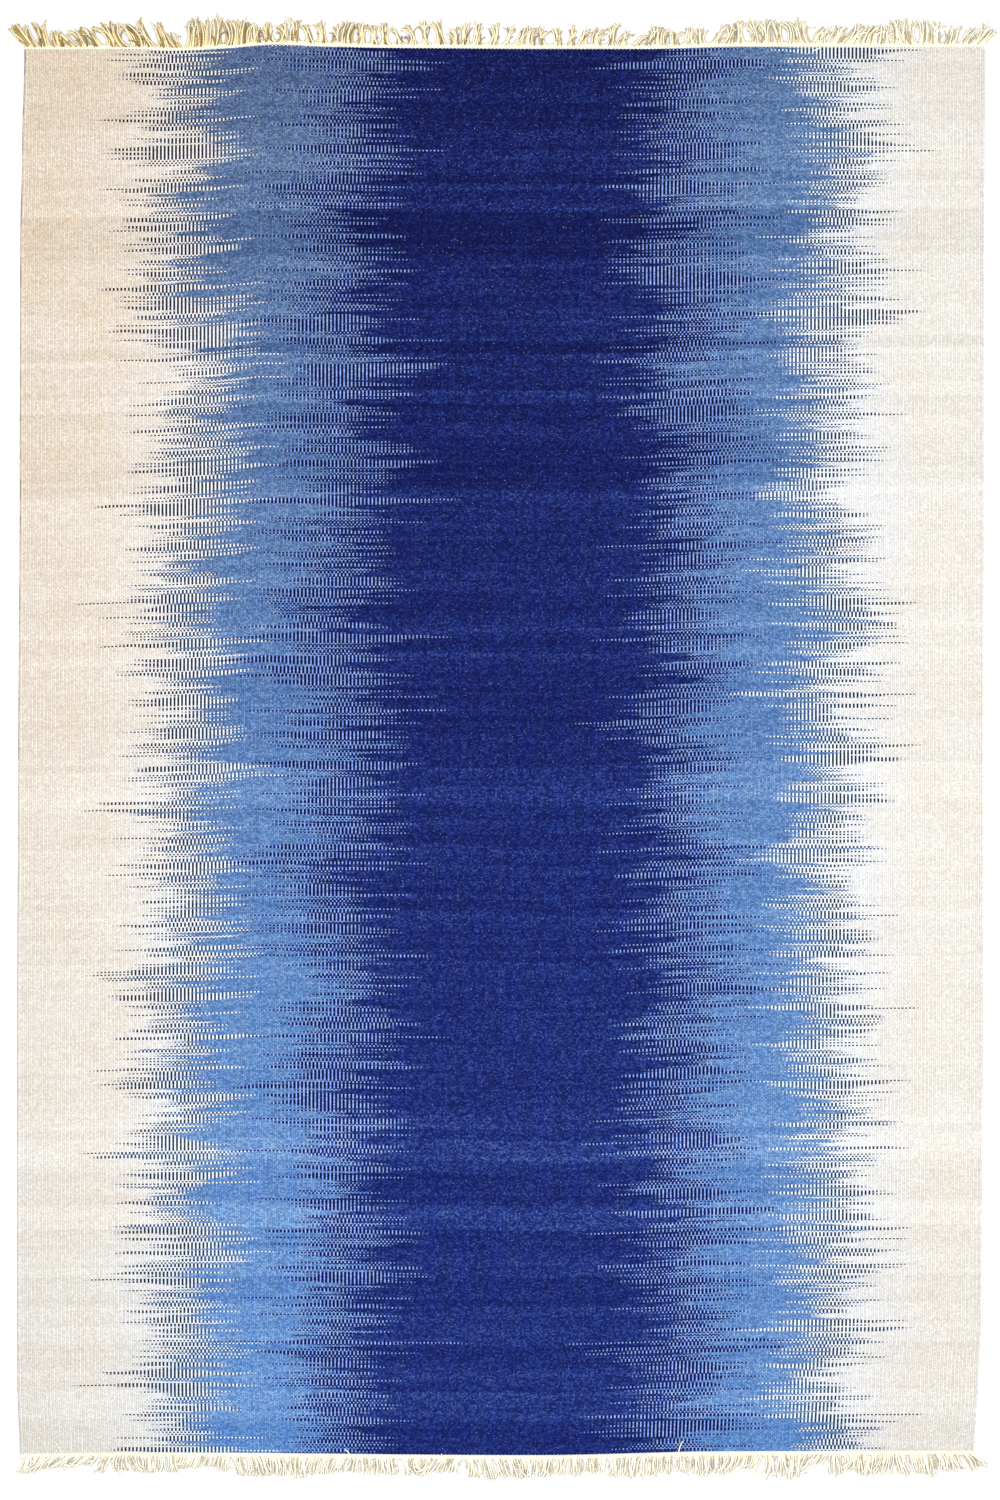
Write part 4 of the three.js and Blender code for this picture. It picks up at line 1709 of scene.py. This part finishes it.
def band_core(name, side):
    """The plain core of an end band, carried across the width beside the wool."""
    points = []
    for step in range(core_steps + 1):
        across = (2 * step / core_steps - 1) * (cloth_half_width - core_inset)
        x, y = root_point(across, side, 0)
        rise = float(cockle(x, y))
        for out, high in core_section:
            points.append((x, y + side * (parting_gap + out), high + rise * (high > 1)))
    ring = len(core_section)
    last = core_steps * ring
    faces = ring_faces(core_steps, ring)
    faces += [tuple(reversed(range(ring))), tuple(range(last, last + ring))]
    if side < 0:
        faces = [face[::-1] for face in faces]
    core = mesh_from(name, points, faces)
    core.data.materials.append(cotton_web)
    return core


def band_floats(name, side):
    """The visible floats of the cotton picks of one end band."""
    points = []
    for column in range(band_columns):
        x, y = root_point((column + 0.5) * float_width - cloth_half_width, side, 0)
        for pick in range(band_picks):
            out = parting_gap + (pick + first_float + 0.5 * (column % 2)) * float_length
            crown = crown_height - crown_fall * out + float(cockle(x, y))
            points.append((x, y + side * out, crown))
    source = mesh_from(name + "_points", points, [])
    return grow(source, floats, {
        "Float Size": (float_wide * mm, float_high * mm, float_deep * mm),
        "Cotton": cotton_web,
    })


def join_pieces(name, pieces):
    """Joins objects into the first and names it."""
    with bpy.context.temp_override(active_object=pieces[0], selected_editable_objects=pieces):
        bpy.ops.object.join()
    pieces[0].name = pieces[0].data.name = name
    return pieces[0]


def end_band(name, side):
    """One whole end band: its core with the floats over it."""
    over = bpy.data.objects.new(name + "_floats", band_floats(name, side))
    bpy.context.scene.collection.objects.link(over)
    return join_pieces(name, [band_core(name, side), over])


bands = {"far": end_band("cotton_end_band_far", 1), "near": end_band("cotton_end_band_near", -1)}
print("band faces:", {end: len(band.data.polygons) for end, band in bands.items()})

# %% [markdown]
# ## Tell the frame what each piece is
# Every piece rides on the one body of the rug. The wool stands for the field, and each band
# with its fringe for the fringe solid of its end. The field is a sheet, with the size it has
# on the loom.

# %% Frame calls
for end in ("far", "near"):
    for piece in (bands[end], fringes[end]):
        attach(piece, "root")
        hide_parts("fringe_" + end)
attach(wool_field, "root")
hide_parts("woven_field")

# %% [markdown]
# ## Floor
# The rug lies on a wide pale floor with a matt paint, which runs on past the picture. It is
# there for the photograph only.

# %% Floor
floor_half = 6
corner = floor_half / mm
floor = mesh_from("studio_floor", [
    (-corner, -corner, 0), (corner, -corner, 0), (corner, corner, 0), (-corner, corner, 0),
], [(0, 1, 2, 3)], smooth=False)
floor_paint, floor_nodes, floor_output = new_material("pale_floor_paint")
paint = add_node(floor_nodes, "ShaderNodeBsdfPrincipled", None, {
    "Base Color": linear("#EDEDEC"), "Roughness": 0.7, "Specular IOR Level": 0.2,
})
floor_nodes.links.new(paint.outputs[0], floor_output.inputs["Surface"])
floor.data.materials.append(floor_paint)
print("floor:", 2 * floor_half, "m wide")

# %% [markdown]
# ## Light
# Soft light comes from all round, as in a studio. A large softbox overhead makes the middle of
# the rug a little brighter than its ends, and a low one on the right rakes across the weave
# and the fringe, so that they throw small soft shadows to the left.

# %% Light
world = bpy.data.worlds.new("studio_air")
world.use_nodes = True
world.node_tree.nodes["Background"].inputs["Color"].default_value = linear("#FFFFFF")
world.node_tree.nodes["Background"].inputs["Strength"].default_value = 0.78
bpy.context.scene.world = world
# Rows of: name, place in metres, side in metres, power in watts, colour
softboxes = [
    ("softbox_overhead", (0.0, 0.0, 2.3), 1.6, 58, "#FFFFFF"),
    ("softbox_right", (3.2, -0.2, 1.7), 1.2, 32, "#FFFDF8"),
]
for name, place, size, power, colour in softboxes:
    lamp = bpy.data.lights.new(name, "AREA")
    lamp.size, lamp.energy, lamp.color = size, power, linear(colour)[:3]
    box = bpy.data.objects.new(name, lamp)
    box.location = place
    towards_rug = Vector((0, 0, 0)) - Vector(place)
    box.rotation_euler = towards_rug.to_track_quat("-Z", "Y").to_euler()
    bpy.context.scene.collection.objects.link(box)
bpy.context.scene.view_settings.view_transform = "Standard"
